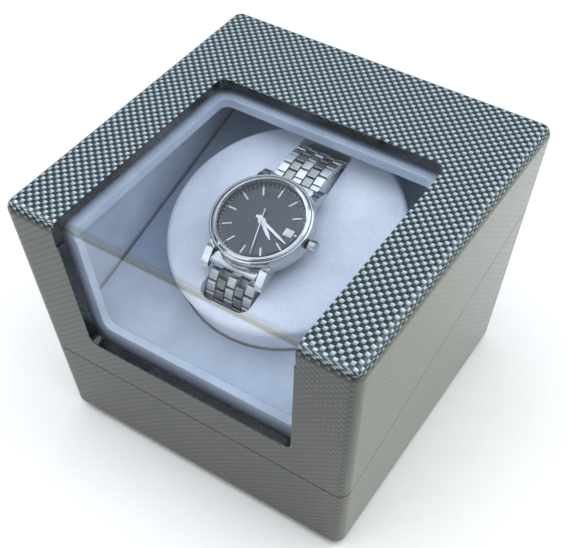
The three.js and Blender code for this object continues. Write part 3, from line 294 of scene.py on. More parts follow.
def dressed(node, material, edge=0.3, segments=2, angle=34, whole_faces=True):
    """A copy of a CAD node with merged faces, eased edges and smooth shading. A face with an opening
    in it stays in triangles, and only its doubled vertices are merged."""
    piece = copy_of(cad[node], node + "_finished")
    if whole_faces:
        tidy(piece)
    else:
        pick(piece, "VERT", lambda v: True)
        bpy.ops.mesh.remove_doubles(threshold=0.01 * MM)
        close()
    if edge:
        change(piece, "BEVEL", width=edge * MM, segments=segments, limit_method="ANGLE",
               angle_limit=math.radians(angle), use_clamp_overlap=True)
    smooth(piece, angle)
    return finish_piece(piece, node, material)


def paint(node, material):
    """Gives a carried CAD node its material."""
    piece = cad[node]
    if not piece.material_slots:
        piece.data.materials.append(material)
    for place in piece.material_slots:
        place.material = material


# ---------------------------------------------------------------- materials
def colour(code):
    """An sRGB hex colour as linear RGBA."""
    parts = [int(code[i:i + 2], 16) / 255 for i in (0, 2, 4)]
    return [c / 12.92 if c <= 0.04045 else ((c + 0.055) / 1.055) ** 2.4 for c in parts] + [1.0]


def add(tree, kind, links=None, **settings):
    """Adds one node with its settings, and its sockets' values or links."""
    node = tree.nodes.new(kind)
    for key, value in settings.items():
        setattr(node, key, value)
    for socket, value in (links or {}).items():
        if isinstance(value, bpy.types.NodeSocket):
            tree.links.new(value, node.inputs[socket])
        else:
            node.inputs[socket].default_value = value
    return node


def start_material(name):
    material = bpy.data.materials.new(name)
    material.use_nodes = True
    material.node_tree.nodes.clear()
    return material, material.node_tree


def end_material(tree, shader):
    add(tree, "ShaderNodeOutputMaterial", {"Surface": shader})


def mixed(tree, factor, first, second, blend="MIX"):
    """The colour between two colours."""
    node = add(tree, "ShaderNodeMix", {0: factor, 6: first, 7: second}, data_type="RGBA", blend_type=blend)
    return node.outputs[2]


def maths(tree, operation, first, second=0.0):
    return add(tree, "ShaderNodeMath", {0: first, 1: second}, operation=operation).outputs[0]


def ranged(tree, value, low, high, out_low, out_high):
    """A value carried from one range to another, and held inside it."""
    node = add(tree, "ShaderNodeMapRange", {0: value, 1: low, 2: high, 3: out_low, 4: out_high})
    return node.outputs[0]


SOCKETS = {"metallic": "Metallic", "ior": "IOR",
           "coat_weight": "Coat Weight", "coat_roughness": "Coat Roughness"}


def grained(name, dark, light, grain, rough, height, stretch=(1, 1, 1), blotch=9.0, **shader):
    """A finish whose colour, gloss and surface vary with a fine grain and with slow blotches, in mm."""
    material, tree = start_material(name)
    place = add(tree, "ShaderNodeTexCoord").outputs["Object"]
    run = add(tree, "ShaderNodeMapping", {"Vector": place, "Scale": stretch}).outputs[0]
    fine = add(tree, "ShaderNodeTexNoise",
               {"Vector": run, "Scale": 1 / (grain * MM), "Detail": 4.0, "Roughness": 0.6}).outputs["Fac"]
    slow = add(tree, "ShaderNodeTexNoise",
               {"Vector": place, "Scale": 1 / (blotch * MM), "Detail": 2.0}).outputs["Fac"]
    both = maths(tree, "ADD", maths(tree, "MULTIPLY", fine, 0.6), maths(tree, "MULTIPLY", slow, 0.4))
    tone = mixed(tree, ranged(tree, both, 0.32, 0.68, 0.0, 1.0), colour(dark), colour(light))
    gloss = ranged(tree, both, 0.3, 0.7, rough[0], rough[1])
    bump = add(tree, "ShaderNodeBump", {"Height": fine, "Distance": height * MM, "Strength": 1.0})
    links = {"Base Color": tone, "Roughness": gloss, "Normal": bump.outputs[0]}
    links.update({SOCKETS[key]: value for key, value in shader.items()})
    end_material(tree, add(tree, "ShaderNodeBsdfPrincipled", links).outputs[0])
    return material


FILM_PITCH = 3.1
FILM_SWAY = 1.9


def woven_film():
    """Carbon-look woven film under gloss lacquer: staggered light and dark cells, each a strand that
    rises and dips, deep in a smooth clear coat, with painted highlight along each strand. The walls are
    painted darker, olive and calmer than the top, and the side faces plainer still: painted shade and
    painted reflection, chosen by which way a face points."""
    material, tree = start_material("woven_carbon_film_under_gloss_lacquer")
    flat = add(tree, "ShaderNodeUVMap", uv_map="film").outputs[0]
    drift = add(tree, "ShaderNodeTexNoise", {"Vector": flat, "Scale": 11.0, "Detail": 1.0}).outputs["Color"]
    sway = add(tree, "ShaderNodeVectorMath", {0: drift, 1: (0.5, 0.5, 0.5)},
               operation="SUBTRACT").outputs[0]
    sway = add(tree, "ShaderNodeVectorMath", {0: sway, 1: (FILM_SWAY * MM,) * 3},
               operation="MULTIPLY").outputs[0]
    laid = add(tree, "ShaderNodeVectorMath", {0: flat, 1: sway}, operation="ADD").outputs[0]
    cells = add(tree, "ShaderNodeMapping",
                {"Vector": laid, "Scale": (1 / (FILM_PITCH * MM),) * 3}).outputs[0]
    grid = add(tree, "ShaderNodeVectorMath", {0: cells, 1: (1.0, 1.0, 0.0), 2: (200.0, 200.0, 0.5)},
               operation="MULTIPLY_ADD").outputs[0]
    over = add(tree, "ShaderNodeTexChecker", {"Vector": grid, "Scale": 1.0}).outputs["Fac"]
    parts = add(tree, "ShaderNodeSeparateXYZ", {"Vector": grid}).outputs
    across = maths(tree, "FRACT", parts[0])
    along = maths(tree, "FRACT", parts[1])
    ridge_x = maths(tree, "SINE", maths(tree, "MULTIPLY", across, math.pi))
    ridge_y = maths(tree, "SINE", maths(tree, "MULTIPLY", along, math.pi))
    # each strand's brightening towards its middle and towards one end is painted highlight; the same
    # profile also lifts the bump
    light_strand_rise_and_painted_highlight = maths(tree, "MULTIPLY", maths(tree, "POWER", ridge_x, 0.5),
                        ranged(tree, along, 0.0, 1.0, 1.0, 0.12))
    dark_strand_rise_and_painted_highlight = maths(tree, "MULTIPLY", maths(tree, "POWER", ridge_y, 0.6),
                       ranged(tree, across, 0.0, 1.0, 1.0, 0.1))
    fibre = add(tree, "ShaderNodeTexNoise",
                {"Vector": grid, "Scale": 3.2, "Detail": 2.0}).outputs["Fac"]
    light = mixed(tree, light_strand_rise_and_painted_highlight, colour("21343f"), colour("cfe2ec"))
    dark = mixed(tree, dark_strand_rise_and_painted_highlight, colour("070c0f"), colour("2a3c45"))
    top = mixed(tree, over, dark, light)
    # the walls take the same weave in darker olive: painted shade of the same film, not a film of another
    # colour
    wall_light_cells_painted_shade = mixed(tree, light_strand_rise_and_painted_highlight, colour("12160c"), colour("414936"))
    wall_dark_cells_painted_shade = mixed(tree, dark_strand_rise_and_painted_highlight, colour("060804"), colour("171b11"))
    wall = mixed(tree, over, wall_dark_cells_painted_shade, wall_light_cells_painted_shade)
    facing = add(tree, "ShaderNodeNewGeometry").outputs["Normal"]
    faced = add(tree, "ShaderNodeSeparateXYZ", {"Vector": facing}).outputs
    upward = faced[2]
    # faces turned to the sides are painted plain olive, 4d5336: a painted reflection that washes out the
    # weave
    side_faces_painted_reflection = ranged(tree, maths(tree, "ABSOLUTE", faced[0]), 0.55, 0.9, 0.0, 0.85)
    wall = mixed(tree, side_faces_painted_reflection, wall, colour("4d5336"))
    # faces turned up get the bright cells; faces turned aside get the walls' painted shade and painted
    # reflection
    tone = mixed(tree, ranged(tree, upward, 0.25, 0.75, 0.0, 1.0), wall, top)
    tone = mixed(tree, 0.18, tone, fibre, "SOFT_LIGHT")
    height = mixed(tree, over, dark_strand_rise_and_painted_highlight, light_strand_rise_and_painted_highlight)
    bump = add(tree, "ShaderNodeBump", {"Height": height, "Distance": 0.12 * MM, "Strength": 0.5})
    shader = add(tree, "ShaderNodeBsdfPrincipled", {
        "Base Color": tone, "Roughness": ranged(tree, fibre, 0.3, 0.7, 0.34, 0.5),
        "Normal": bump.outputs[0],
        "Specular IOR Level": 0.25, "Coat Weight": 0.7, "Coat Roughness": 0.03, "Coat IOR": 1.5})
    end_material(tree, shader.outputs[0])
    return material


def clear_sheet(name, tint, ior, haze, bend_painted_shade=None):
    """Polished clear sheet: it shows what is behind it, with a mirror-like gloss that grows at a slant.
    Where it is bent its see-through colour is painted a little darker and takes the bend's tint: painted
    shade for the light that the bend turns aside."""
    material, tree = start_material(name)
    place = add(tree, "ShaderNodeTexCoord").outputs["Object"]
    smear = add(tree, "ShaderNodeTexNoise", {"Vector": place, "Scale": 1 / (25 * MM), "Detail": 3.0})
    gloss = ranged(tree, smear.outputs["Fac"], 0.35, 0.75, haze * 0.4, haze)
    facing = add(tree, "ShaderNodeNewGeometry").outputs["Normal"]
    upward = add(tree, "ShaderNodeSeparateXYZ", {"Vector": facing}).outputs[2]
    # the bend: faces turned partway between up and front; there the see-through colour takes painted shade
    bent = maths(tree, "MULTIPLY", ranged(tree, upward, 0.05, 0.35, 0.0, 1.0),
                 ranged(tree, upward, 0.8, 0.98, 1.0, 0.0))
    seen = mixed(tree, bent, colour(tint), colour(bend_painted_shade or tint))
    through = add(tree, "ShaderNodeBsdfTransparent", {"Color": seen}).outputs[0]
    shine = add(tree, "ShaderNodeBsdfGlossy", {"Color": colour("ffffff"), "Roughness": gloss}).outputs[0]
    slant = add(tree, "ShaderNodeFresnel", {"IOR": ior}).outputs[0]
    inside = add(tree, "ShaderNodeNewGeometry").outputs["Backfacing"]
    outer = maths(tree, "MULTIPLY", slant, maths(tree, "SUBTRACT", 1.0, inside))
    end_material(tree, add(tree, "ShaderNodeMixShader", {0: outer, 1: through, 2: shine}).outputs[0])
    return material


def plush(name, shade, pale, pile=0.55, height=0.16):
    """Short pile plush: soft, speckled by the tips of its pile, with slow patches where it was stroked."""
    material, tree = start_material(name)
    place = add(tree, "ShaderNodeTexCoord").outputs["Object"]
    tips = add(tree, "ShaderNodeTexNoise",
               {"Vector": place, "Scale": 1 / (pile * MM), "Detail": 3.0, "Roughness": 0.7}).outputs["Fac"]
    patches = add(tree, "ShaderNodeTexNoise",
                  {"Vector": place, "Scale": 1 / (14 * MM), "Detail": 3.0,
                   "Roughness": 0.55}).outputs["Fac"]
    both = maths(tree, "ADD", maths(tree, "MULTIPLY", tips, 0.62), maths(tree, "MULTIPLY", patches, 0.38))
    tone = mixed(tree, ranged(tree, both, 0.34, 0.64, 0.0, 1.0), colour(shade), colour(pale))
    bump = add(tree, "ShaderNodeBump", {"Height": tips, "Distance": height * MM, "Strength": 1.0})
    shader = add(tree, "ShaderNodeBsdfPrincipled", {
        "Base Color": tone, "Roughness": ranged(tree, tips, 0.3, 0.7, 0.85, 1.0), "Normal": bump.outputs[0],
        "Sheen Weight": 0.45, "Sheen Roughness": 0.5, "Sheen Tint": colour("eef2ff")})
    end_material(tree, shader.outputs[0])
    return material


def wood_grain(name, dark, light):
    """Sawn beech: long fine grain along its length."""
    return grained(name, dark, light, 1.2, (0.55, 0.75), 0.05, stretch=(1, 0.06, 1), blotch=20)


film = woven_film()
# black gloss lacquer on the cut edges of the wood: deep, mirror-like
black_lacquer = grained("black_gloss_lacquer_on_cut_edges", "030405", "08090c", 0.4, (0.22, 0.34), 0.001,
                        coat_weight=0.55, coat_roughness=0.03)
# the last colour, e6e2da, is the bend's painted shade
acrylic = clear_sheet("clear_acrylic_sheet_heat_bent", "f7f9fc", 1.49, 0.05, "e6e2da")
mineral_glass = clear_sheet("mineral_glass_watch_crystal", "fafbfd", 1.50, 0.01)
pad_plush = plush("lavender_short_pile_plush", "cfd9ea", "f4f7fc")
cushion_plush = plush("lavender_short_pile_plush_on_cushion", "d3deec", "f6f9fc", pile=0.5)
flock = plush("lavender_flocked_board", "a3b1c6", "ccd8e6", pile=0.35, height=0.05)
# polished stainless steel: mirror with the faintest haze of handling
polished = grained("polished_stainless_steel", "a9abad", "cfd1d3", 0.5, (0.06, 0.14), 0.001, metallic=1.0)
# brushed stainless steel: fine lines run across the band
brushed = grained("brushed_stainless_steel", "9c9e9c", "c6c6c2", 0.9, (0.3, 0.44), 0.006,
                  stretch=(0.08, 1, 1), metallic=1.0)
# the outer links: satin steel, painted near white, brighter than steel's own colour: a painted highlight
satin = grained("satin_stainless_steel_painted_highlight", "dddfdf", "fbfbfa", 0.8, (0.34, 0.46), 0.004,
                stretch=(1, 0.08, 1), metallic=1.0)
dial_black = grained("black_lacquered_brass_dial", "07080b", "12141a", 0.3, (0.16, 0.26), 0.0,
                     coat_weight=0.6, coat_roughness=0.08)
dial_print = grained("white_pad_printed_ink", "b9bdc4", "d9dce2", 0.2, (0.4, 0.6), 0.002)
date_white = grained("white_enamel_date_ring", "e4e5e6", "f5f5f4", 0.3, (0.25, 0.4), 0.001)
abs_black = grained("black_moulded_abs", "0c0d0f", "1a1b1e", 0.35, (0.38, 0.55), 0.02, ior=1.53)
abs_pale = grained("pale_moulded_abs", "c6c6c0", "d8d8d2", 0.4, (0.4, 0.55), 0.015, ior=1.53)
nylon = grained("natural_moulded_nylon", "d6d3c6", "e9e7dd", 0.5, (0.35, 0.5), 0.01, ior=1.53)
brass = grained("machined_brass", "9c7c3c", "c9a860", 0.5, (0.18, 0.35), 0.004, metallic=1.0)
zinc = grained("zinc_plated_steel", "8d9096", "b9bcc0", 0.6, (0.25, 0.45), 0.006, metallic=1.0)
nickel = grained("satin_nickel_plated_steel", "96979a", "c4c5c7", 0.7, (0.2, 0.36), 0.005, metallic=1.0)
ground_steel = grained("ground_shaft_steel", "8a8c8f", "b4b6b9", 0.5, (0.2, 0.35), 0.004, metallic=1.0)
drawn_can = grained("drawn_motor_can_steel", "84868a", "adafb2", 0.9, (0.25, 0.42), 0.006, metallic=1.0)
rubber = grained("black_silicone_rubber", "0d0d0e", "1b1b1d", 0.5, (0.7, 0.9), 0.02)
felted_board = grained("black_painted_fibreboard", "17181b", "26282c", 0.6, (0.6, 0.8), 0.04)
beech = wood_grain("sawn_beech", "8d683d", "c39a66")
solder_mask = grained("green_solder_mask_on_glass_epoxy", "0c4a26", "1a6a38", 1.1, (0.25, 0.45), 0.01)


# ---------------------------------------------------------------- box shells
def tapered_block(name):
    """The whole box before it is sawn: a cube drawn in towards its foot, with every edge rounded."""
    body = block(name, (-BOX / 2, -BOX / 2, BOX_LOW), (BOX / 2, BOX / 2, BOX_TOP))
    narrow = 1 - TAPER * (BOX_TOP - BOX_LOW) / (BOX / 2)
    pick(body, "FACE", lambda f: f.normal.z < -0.9)
    bpy.ops.transform.resize(value=(narrow, narrow, 1), center_override=(0, 0, BOX_LOW * MM))
    close()
    bevel(body, lambda e: True, EDGE_ROUND, EDGE_SEGMENTS)
    for material in (film, black_lacquer, flock):
        body.data.materials.append(material)
    return body


def cutter_of(piece, finish=1):
    """Gives a cutter the shell's finishes, so that the faces it makes come out black, or flocked."""
    for material in (film, black_lacquer, flock):
        piece.data.materials.append(material)
    for face in piece.data.polygons:
        face.material_index = finish
    return piece


def leaning_block(name, low, high, depth):
    """A box whose front face lies at a depth inside the leaning front wall."""
    piece = block(name, low, high)
    front = low[1] * MM + 1e-6
    for is_low, z in ((True, low[2]), (False, high[2])):
        want = -(BOX / 2 - TAPER * (BOX_TOP - z)) + depth
        pick(piece, "VERT", lambda v: v.co.y < front and (v.co.z < (low[2] + high[2]) / 2 * MM) == is_low)
        bpy.ops.transform.translate(value=(0, (want - low[1]) * MM, 0))
        close()
    return piece


def lay_film(shell):
    """Lays the film flat on each side, in metres."""
    shell.data.uv_layers.new(name="film")
    pick(shell, "FACE", lambda f: True)
    bpy.ops.uv.cube_project(cube_size=1.0, correct_aspect=False, clip_to_bounds=False,
                            scale_to_bounds=False)
    close()


def saw(shell, level, keep_above):
    """Saws the box along the slanting joint and keeps one half."""
    normal = DRIVE.to_3x3() @ Vector((0, 0, 1))
    point = DRIVE @ Vector((0, 0, level * MM))
    pick(shell, "FACE", lambda f: True)
    bpy.ops.mesh.bisect(plane_co=point, plane_no=normal, use_fill=True,
                        clear_inner=keep_above, clear_outer=not keep_above)
    close()
    for face in shell.data.polygons:
        if abs(face.normal.dot(normal)) > 0.9995:
            face.material_index = 1


def ease_rims(shell, width=0.45):
    """Eases the edges where the film meets the black cut edges."""
    tidy(shell, merge=0.02, flat=0.3)

    def rim(edge):
        finishes = sorted(face.material_index for face in edge.link_faces)
        return len(finishes) == 2 and finishes[0] == 0 and finishes[1] > 0 and sharp(edge, 25)

    bevel(shell, rim, width, 2)


def lid_shell():
    shell = tapered_block("lid_shell_finished")
    saw(shell, PARTING_GAP / 2, True)
    carve(shell, cutter_of(block("cut", (-HOLLOW_X, HOLLOW_FRONT, 0), (HOLLOW_X, HOLLOW_BACK, CEILING)), 2))
    roof = block("cut", (-WINDOW_X, -BOX, CEILING - FRAME_DEPTH), (WINDOW_X, WINDOW_BACK, BOX_TOP + 5))
    bevel(roof, lambda e: abs(e.verts[0].co.z - e.verts[1].co.z) > 5 * MM and e.verts[0].co.y > 0,
          WINDOW_ROUND, 5)
    carve(shell, cutter_of(roof))
    front = block("cut", (-WINDOW_X, -BOX, WINDOW_SILL), (WINDOW_X, HOLLOW_FRONT + 1, BOX_TOP))
    sill_x = WINDOW_X - TAPER * (BOX_TOP - WINDOW_SILL)
    pick(front, "FACE", lambda f: f.normal.z < -0.9)
    bpy.ops.transform.resize(value=(sill_x / WINDOW_X, 1, 1), center_override=(0, 0, 0))
    close()
    bevel(front, lambda e: max(v.co.z for v in e.verts) < (WINDOW_SILL + 1) * MM
          and abs(e.verts[0].co.y - e.verts[1].co.y) > 5 * MM, WINDOW_ROUND, 5)
    carve(shell, cutter_of(front))
    carve(shell, cutter_of(block("cut", (-SEAT_X, -62, CEILING - 0.2), (SEAT_X, SEAT_BACK, BOX_TOP - LIP))))
    carve(shell, cutter_of(leaning_block(
        "cut", (-SEAT_X, -80, SEAT_LOW), (SEAT_X, HOLLOW_FRONT + 1, BOX_TOP - LIP), LIP)))
    carve(shell, cutter_of(leaning_block(
        "cut", (-FRAME_SEAT_X, -80, FRAME_SEAT_LOW), (FRAME_SEAT_X, HOLLOW_FRONT + 1, CEILING - 0.1),
        FRAME_SEAT_DEPTH)))
    ease_rims(shell)
    lay_film(shell)
    smooth(shell, 32)
    return finish_piece(shell, "lid_shell", None)


def base_shell():
    shell = tapered_block("base_shell_finished")
    saw(shell, -PARTING_GAP / 2, False)
    carve(shell, cutter_of(block("cut", *BASE_HOLLOW), 2))
    carve(shell, cutter_of(block("cut", *BOARD_SEAT)))
    for corners in (PANEL_RECESS, PANEL_OPENING):
        carve(shell, cutter_of(move(block("cut", *corners), REAR)))
    ease_rims(shell, 0.35)
    lay_film(shell)
    smooth(shell, 32)
    return finish_piece(shell, "base_shell", None)


lid_shell()
base_shell()

# ---------------------------------------------------------------- window and linings
dressed("window_pane", acrylic, edge=0.25, whole_faces=False)
dressed("window_frame", flock, edge=0.4, whole_faces=False)
dressed("lid_lining", flock, edge=0.2, whole_faces=False)
dressed("deck", flock, edge=0.6, segments=3, whole_faces=False)


# ---------------------------------------------------------------- turntable
def turntable_pad():
    """Plush over foam on a round board, with a rolled rim, a skirt down to the deck and a slot."""
    disc = drum("turntable_pad_finished", PAD_RADIUS, PAD_FACE - PAD_THICK - 0.4, PAD_FACE - 0.35, 128)
    bevel(disc, lambda e: abs(e.verts[0].co.z - e.verts[1].co.z) < 1e-6 and sharp(e), 2.4, 5)
    sink(disc, [(3, 0.15), (8, 0.15), (10, 0.05)])
    slot = block("cut", (WATCH_X - SLOT_X, -SLOT_Y, 10), (WATCH_X + SLOT_X, SLOT_Y, 40))
    bevel(slot, lambda e: abs(e.verts[0].co.z - e.verts[1].co.z) > 5 * MM, SLOT_ROUND, 6)
    carve(disc, slot)
    tidy(disc, merge=0.02, flat=0.2)
    face = (PAD_FACE - 0.9) * MM

    def slot_rim(edge):
        inside = all(abs(v.co.x - WATCH_X * MM) < (SLOT_X + 0.1) * MM and abs(v.co.y) < (SLOT_Y + 0.1) * MM
                     and v.co.z > face for v in edge.verts)
        return inside and sharp(edge, 50)

    bevel(disc, slot_rim, 0.5, 3)
    skirt = drum("skirt", SKIRT_RADIUS, SKIRT_LOW, PAD_FACE - PAD_THICK, 128)
    pick(skirt, "FACE", lambda f: abs(f.normal.z) > 0.9)
    bpy.ops.mesh.delete(type="FACE")
    close()
    change(skirt, "SOLIDIFY", thickness=(SKIRT_RADIUS - SKIRT_BORE) * MM, offset=-1.0)
    pad = joined("turntable_pad_finished", [disc, skirt])
    smooth(pad, 40)
    move(pad, DRIVE)
    finish_piece(pad, "turntable_pad", pad_plush)
    return pad


turntable_pad()
dressed("turntable_cup", flock, edge=0.4)


# ---------------------------------------------------------------- cushion and bracelet path
STRAIGHT = CUSHION_LENGTH - CUSHION_ROUND
END = (CUSHION_HIGH - CUSHION_LOW) / 2 - CUSHION_ROUND
MIDDLE = (CUSHION_HIGH + CUSHION_LOW) / 2
QUARTER = CUSHION_ROUND * math.pi / 2
LOOP = 4 * (STRAIGHT + QUARTER + END)


def on_loop(distance, outwards):
    """The place and the outward angle on the cushion's outline, measured from its top centre."""
    half = LOOP / 2
    back = distance > half
    s = distance - half if back else distance
    reach = CUSHION_ROUND + outwards
    if s <= STRAIGHT:
        y, z, angle = s, END + reach, math.pi / 2
    elif s <= STRAIGHT + QUARTER:
        angle = math.pi / 2 - (s - STRAIGHT) / CUSHION_ROUND
        y, z = STRAIGHT + reach * math.cos(angle), END + reach * math.sin(angle)
    elif s <= STRAIGHT + QUARTER + 2 * END:
        angle = 0.0
        y, z = STRAIGHT + reach, END - (s - STRAIGHT - QUARTER)
    elif s <= half - STRAIGHT:
        angle = -(s - STRAIGHT - QUARTER - 2 * END) / CUSHION_ROUND
        y, z = STRAIGHT + reach * math.cos(angle), -END + reach * math.sin(angle)
    else:
        y, z, angle = half - s, -END - reach, -math.pi / 2
    if back:
        return -y, MIDDLE - z, angle + math.pi
    return y, MIDDLE + z, angle


def watch_cushion():
    """A plush-covered foam block, swelled a little by pressure and held to the cushion's width."""
    pad = copy_of(cad["watch_cushion"], "watch_cushion_finished")
    tidy(pad)
    move(pad, DRIVE.inverted())
    centre = Vector((WATCH_X * MM, 0, MIDDLE * MM))
    shrink = Matrix.Diagonal((*CUSHION_SHRINK, 1))
    move(pad, Matrix.Translation(centre) @ shrink @ Matrix.Translation(-centre))
    change(pad, "REMESH", mode="VOXEL", voxel_size=2.2 * MM)
    still = [v.co.copy() for v in pad.data.vertices]
    cloth = pad.modifiers.new("cloth", "CLOTH")
    cloth.settings.use_pressure = True
    cloth.settings.uniform_pressure_force = 4.0
    cloth.settings.effector_weights.gravity = 0.0
    cloth.settings.quality = 5
    for step in range(1, SWELL_STEPS + 1):
        bpy.context.scene.frame_set(step)
    activate(pad)
    bpy.ops.object.modifier_apply(modifier=cloth.name)
    bpy.context.scene.frame_set(1)
    for vertex, home in zip(pad.data.vertices, still):
        shift = vertex.co - home
        if shift.length > SWELL_LIMIT * MM:
            vertex.co = home + shift.normalized() * SWELL_LIMIT * MM
    change(pad, "SUBSURF", levels=1, render_levels=1)
    for vertex in pad.data.vertices:
        vertex.co.x = max((WATCH_X - CUSHION_X) * MM, min((WATCH_X + CUSHION_X) * MM, vertex.co.x))
    smooth(pad, 80, weighted=False)
    move(pad, DRIVE)
    finish_piece(pad, "watch_cushion", cushion_plush)


watch_cushion()


def bracelet(node, start, end, rows):
    """Five columns of links, staggered like bricks, bent round the cushion."""
    pitch = (end - start) / rows
    width = BAND_WIDTH / BAND_COLUMNS
    length = pitch - LINK_GAP
    half = (width - LINK_GAP) / 2
    link = block("link", (-half, -length / 2, 0), (half, length / 2, LINK_THICK))
    bevel(link, lambda e: all(v.co.z > 1 * MM for v in e.verts), 0.38, 2)
    links = []
    for column in range(BAND_COLUMNS):
        staggered = column % 2 == 1
        count = rows - 1 if staggered else rows
        for row in range(count):
            s = start + (row + (1.0 if staggered else 0.5)) * pitch
            y, z, angle = on_loop(s, BAND_LIFT)
            x = WATCH_X + (column - (BAND_COLUMNS - 1) / 2) * width
            turn = Matrix.Rotation(angle - math.pi / 2, 4, "X")
            place = Matrix.Translation((x * MM, y * MM, z * MM)) @ turn
            piece = copy_of(link, "link", place)
            piece.data.materials.append(satin)
            piece.data.materials.append(brushed)
            for face in piece.data.polygons:
                face.material_index = 1 if staggered else 0
            links.append(piece)
    bpy.data.objects.remove(link)
    band = joined(node + "_finished", links)
    smooth(band, 30)
    move(band, DRIVE)
    finish_piece(band, node, None)


upper_start = WATCH_Y + CASE_RADIUS + END_LINK_GAP
reach_down = CASE_RADIUS + END_LINK_GAP - WATCH_Y - STRAIGHT
lower_end = LOOP - STRAIGHT - CUSHION_ROUND * math.asin(reach_down / CUSHION_ROUND)
bracelet("bracelet_upper", upper_start, LOOP / 2 - 0.2, 19)
bracelet("bracelet_lower", LOOP / 2 + 0.2, lower_end, 16)


# ---------------------------------------------------------------- watch
def watch_case():
    dressed("watch_case", polished, edge=1.1, segments=4, angle=30)
    dressed("watch_case_back", brushed, edge=0.3)


def watch_bezel():
    """A polished ring in two steps round the crystal."""
    ring = drum("watch_bezel_finished", BEZEL_RADIUS, 8.2, 8.7, 128)
    sink(ring, [(0.0, 0.25), (0.35, 0.2), (0.35, 0.0), (0.3, 0.35), (0.6, 0.3), (0.65, 0.05), (0.35, -0.15),
                (0.15, -0.5)])
    carve(ring, drum("cut", BEZEL_BORE, 5, 15, 128))
    tidy(ring, merge=0.005, flat=0.2)
    smooth(ring, 20)
    move(ring, WATCH)
    finish_piece(ring, "watch_bezel", polished)


def watch_crystal():
    glass = drum("watch_crystal_finished", CRYSTAL_RADIUS, CRYSTAL_TOP - 1.3, CRYSTAL_TOP - 0.25, 96)
    sink(glass, [(0.3, 0.2), (6, 0.05)])
    smooth(glass, 20)
    move(glass, WATCH)
    finish_piece(glass, "watch_crystal", mineral_glass)


def watch_dial():
    """A black dial with an eased rim, twelve raised batons, a minute track and a date window."""
    plate = drum("watch_dial_finished", DIAL_RADIUS, DIAL_LEVEL - 0.4, DIAL_LEVEL, 96)
    bevel(plate, lambda e: sharp(e), 0.08, 2)
    smooth(plate, 30)
    move(plate, WATCH)
    finish_piece(plate, "watch_dial", dial_black)
    baton = block("baton", (-0.3, 11.4, DIAL_LEVEL), (0.3, 15.0, DIAL_LEVEL + 0.35))
    bevel(baton, lambda e: all(v.co.z > (DIAL_LEVEL + 0.2) * MM for v in e.verts), 0.12, 2)
    short = block("baton", (-0.3, 14.0, DIAL_LEVEL), (0.3, 15.0, DIAL_LEVEL + 0.35))
    batons = [copy_of(short if hour == 3 else baton, "baton", Matrix.Rotation(-hour * math.pi / 6, 4, "Z"))
              for hour in range(12)]
    window = block("frame", (9.9, -1.55, DIAL_LEVEL), (13.5, 1.55, DIAL_LEVEL + 0.22))
    sink(window, [(0.3, -0.15)])
    batons.append(window)
    for piece in (baton, short):
        bpy.data.objects.remove(piece)
    marks = joined("hour_batons", batons)
    smooth(marks, 30)
    move(marks, WATCH)
    add_on(marks, "watch_dial", satin)
    date = block("date_ring", (10.25, -1.2, DIAL_LEVEL), (13.15, 1.2, DIAL_LEVEL + 0.12))
    bevel(date, lambda e: sharp(e), 0.03, 1)
    move(date, WATCH)
    add_on(date, "watch_dial", date_white)
    tick = block("tick", (-0.09, 15.5, DIAL_LEVEL), (0.09, 16.3, DIAL_LEVEL + 0.04))
    bold = block("tick", (-0.16, 15.4, DIAL_LEVEL), (0.16, 16.35, DIAL_LEVEL + 0.05))
    ticks = []
    for minute in range(60):
        turn = Matrix.Rotation(-minute * math.pi / 30, 4, "Z")
        ticks.append(copy_of(bold if minute % 5 == 0 else tick, "tick", turn))
    for piece in (tick, bold):
        bpy.data.objects.remove(piece)
    track = joined("minute_track", ticks)
    move(track, WATCH)
    add_on(track, "watch_dial", dial_print)


def end_link(name, node, sign):
    """The solid end link between two lugs."""
    half_width = 10.1
    piece = block(name, (-half_width, 17.2, 1.4), (half_width, 21.6, 5.0))
    bevel(piece, lambda e: all(v.co.z > 4 * MM for v in e.verts), 0.9, 3)
    if sign < 0:
        move(piece, Matrix.Rotation(math.pi, 4, "Z"))
    smooth(piece, 34)
    move(piece, WATCH)
    add_on(piece, node, polished)


watch_case()
watch_bezel()
watch_crystal()
watch_dial()
end_link("end_link_upper", "watch_case", 1)
end_link("end_link_lower", "watch_case", -1)
for hand in ("hour_hand", "minute_hand", "second_hand"):
    dressed(hand, satin, edge=0.05, segments=1)
dressed("crown", polished, edge=0.15, segments=1)

# ---------------------------------------------------------------- hinge, back and underside
dressed("hinge_leaf_base", nickel, edge=0.25)
dressed("hinge_leaf_lid", nickel, edge=0.25)
dressed("hinge_pin", nickel, edge=0.2)
for side in ("left", "right"):
    for half in ("base", "lid"):
        dressed(f"hinge_screw_{half}_{side}", nickel, edge=0.15)
dressed("rear_panel", abs_black, edge=0.4)
dressed("power_jack", abs_black, edge=0.3)
dressed("switch_knob", abs_black, edge=0.35)
dressed("bottom_panel", felted_board, edge=0.3)
for corner in ("front_left", "front_right", "back_left", "back_right"):
    dressed("foot_" + corner, rubber, edge=0.5, segments=3)
    dressed("bottom_screw_" + corner, zinc, edge=0.15)

# ---------------------------------------------------------------- carried inner pieces
carried = {
    "rail_left": beech, "rail_right": beech, "mount_plate": felted_board, "collar": flock,
    "circuit_board": solder_mask, "base_magnet_left": nickel, "base_magnet_right": nickel,
    "lid_magnet_left": nickel, "lid_magnet_right": nickel, "shaft_bush": brass,
    "turntable_shaft": ground_steel, "shaft_clip": ground_steel, "drive_gear": nylon, "motor_pinion": nylon,
    "gearbox": abs_pale, "motor_can": drawn_can, "switch_body": abs_black, "watch_movement": brass,
    "winding_weight": brass, "crown_stem": ground_steel,
}
for node, material in carried.items():
    paint(node, material)


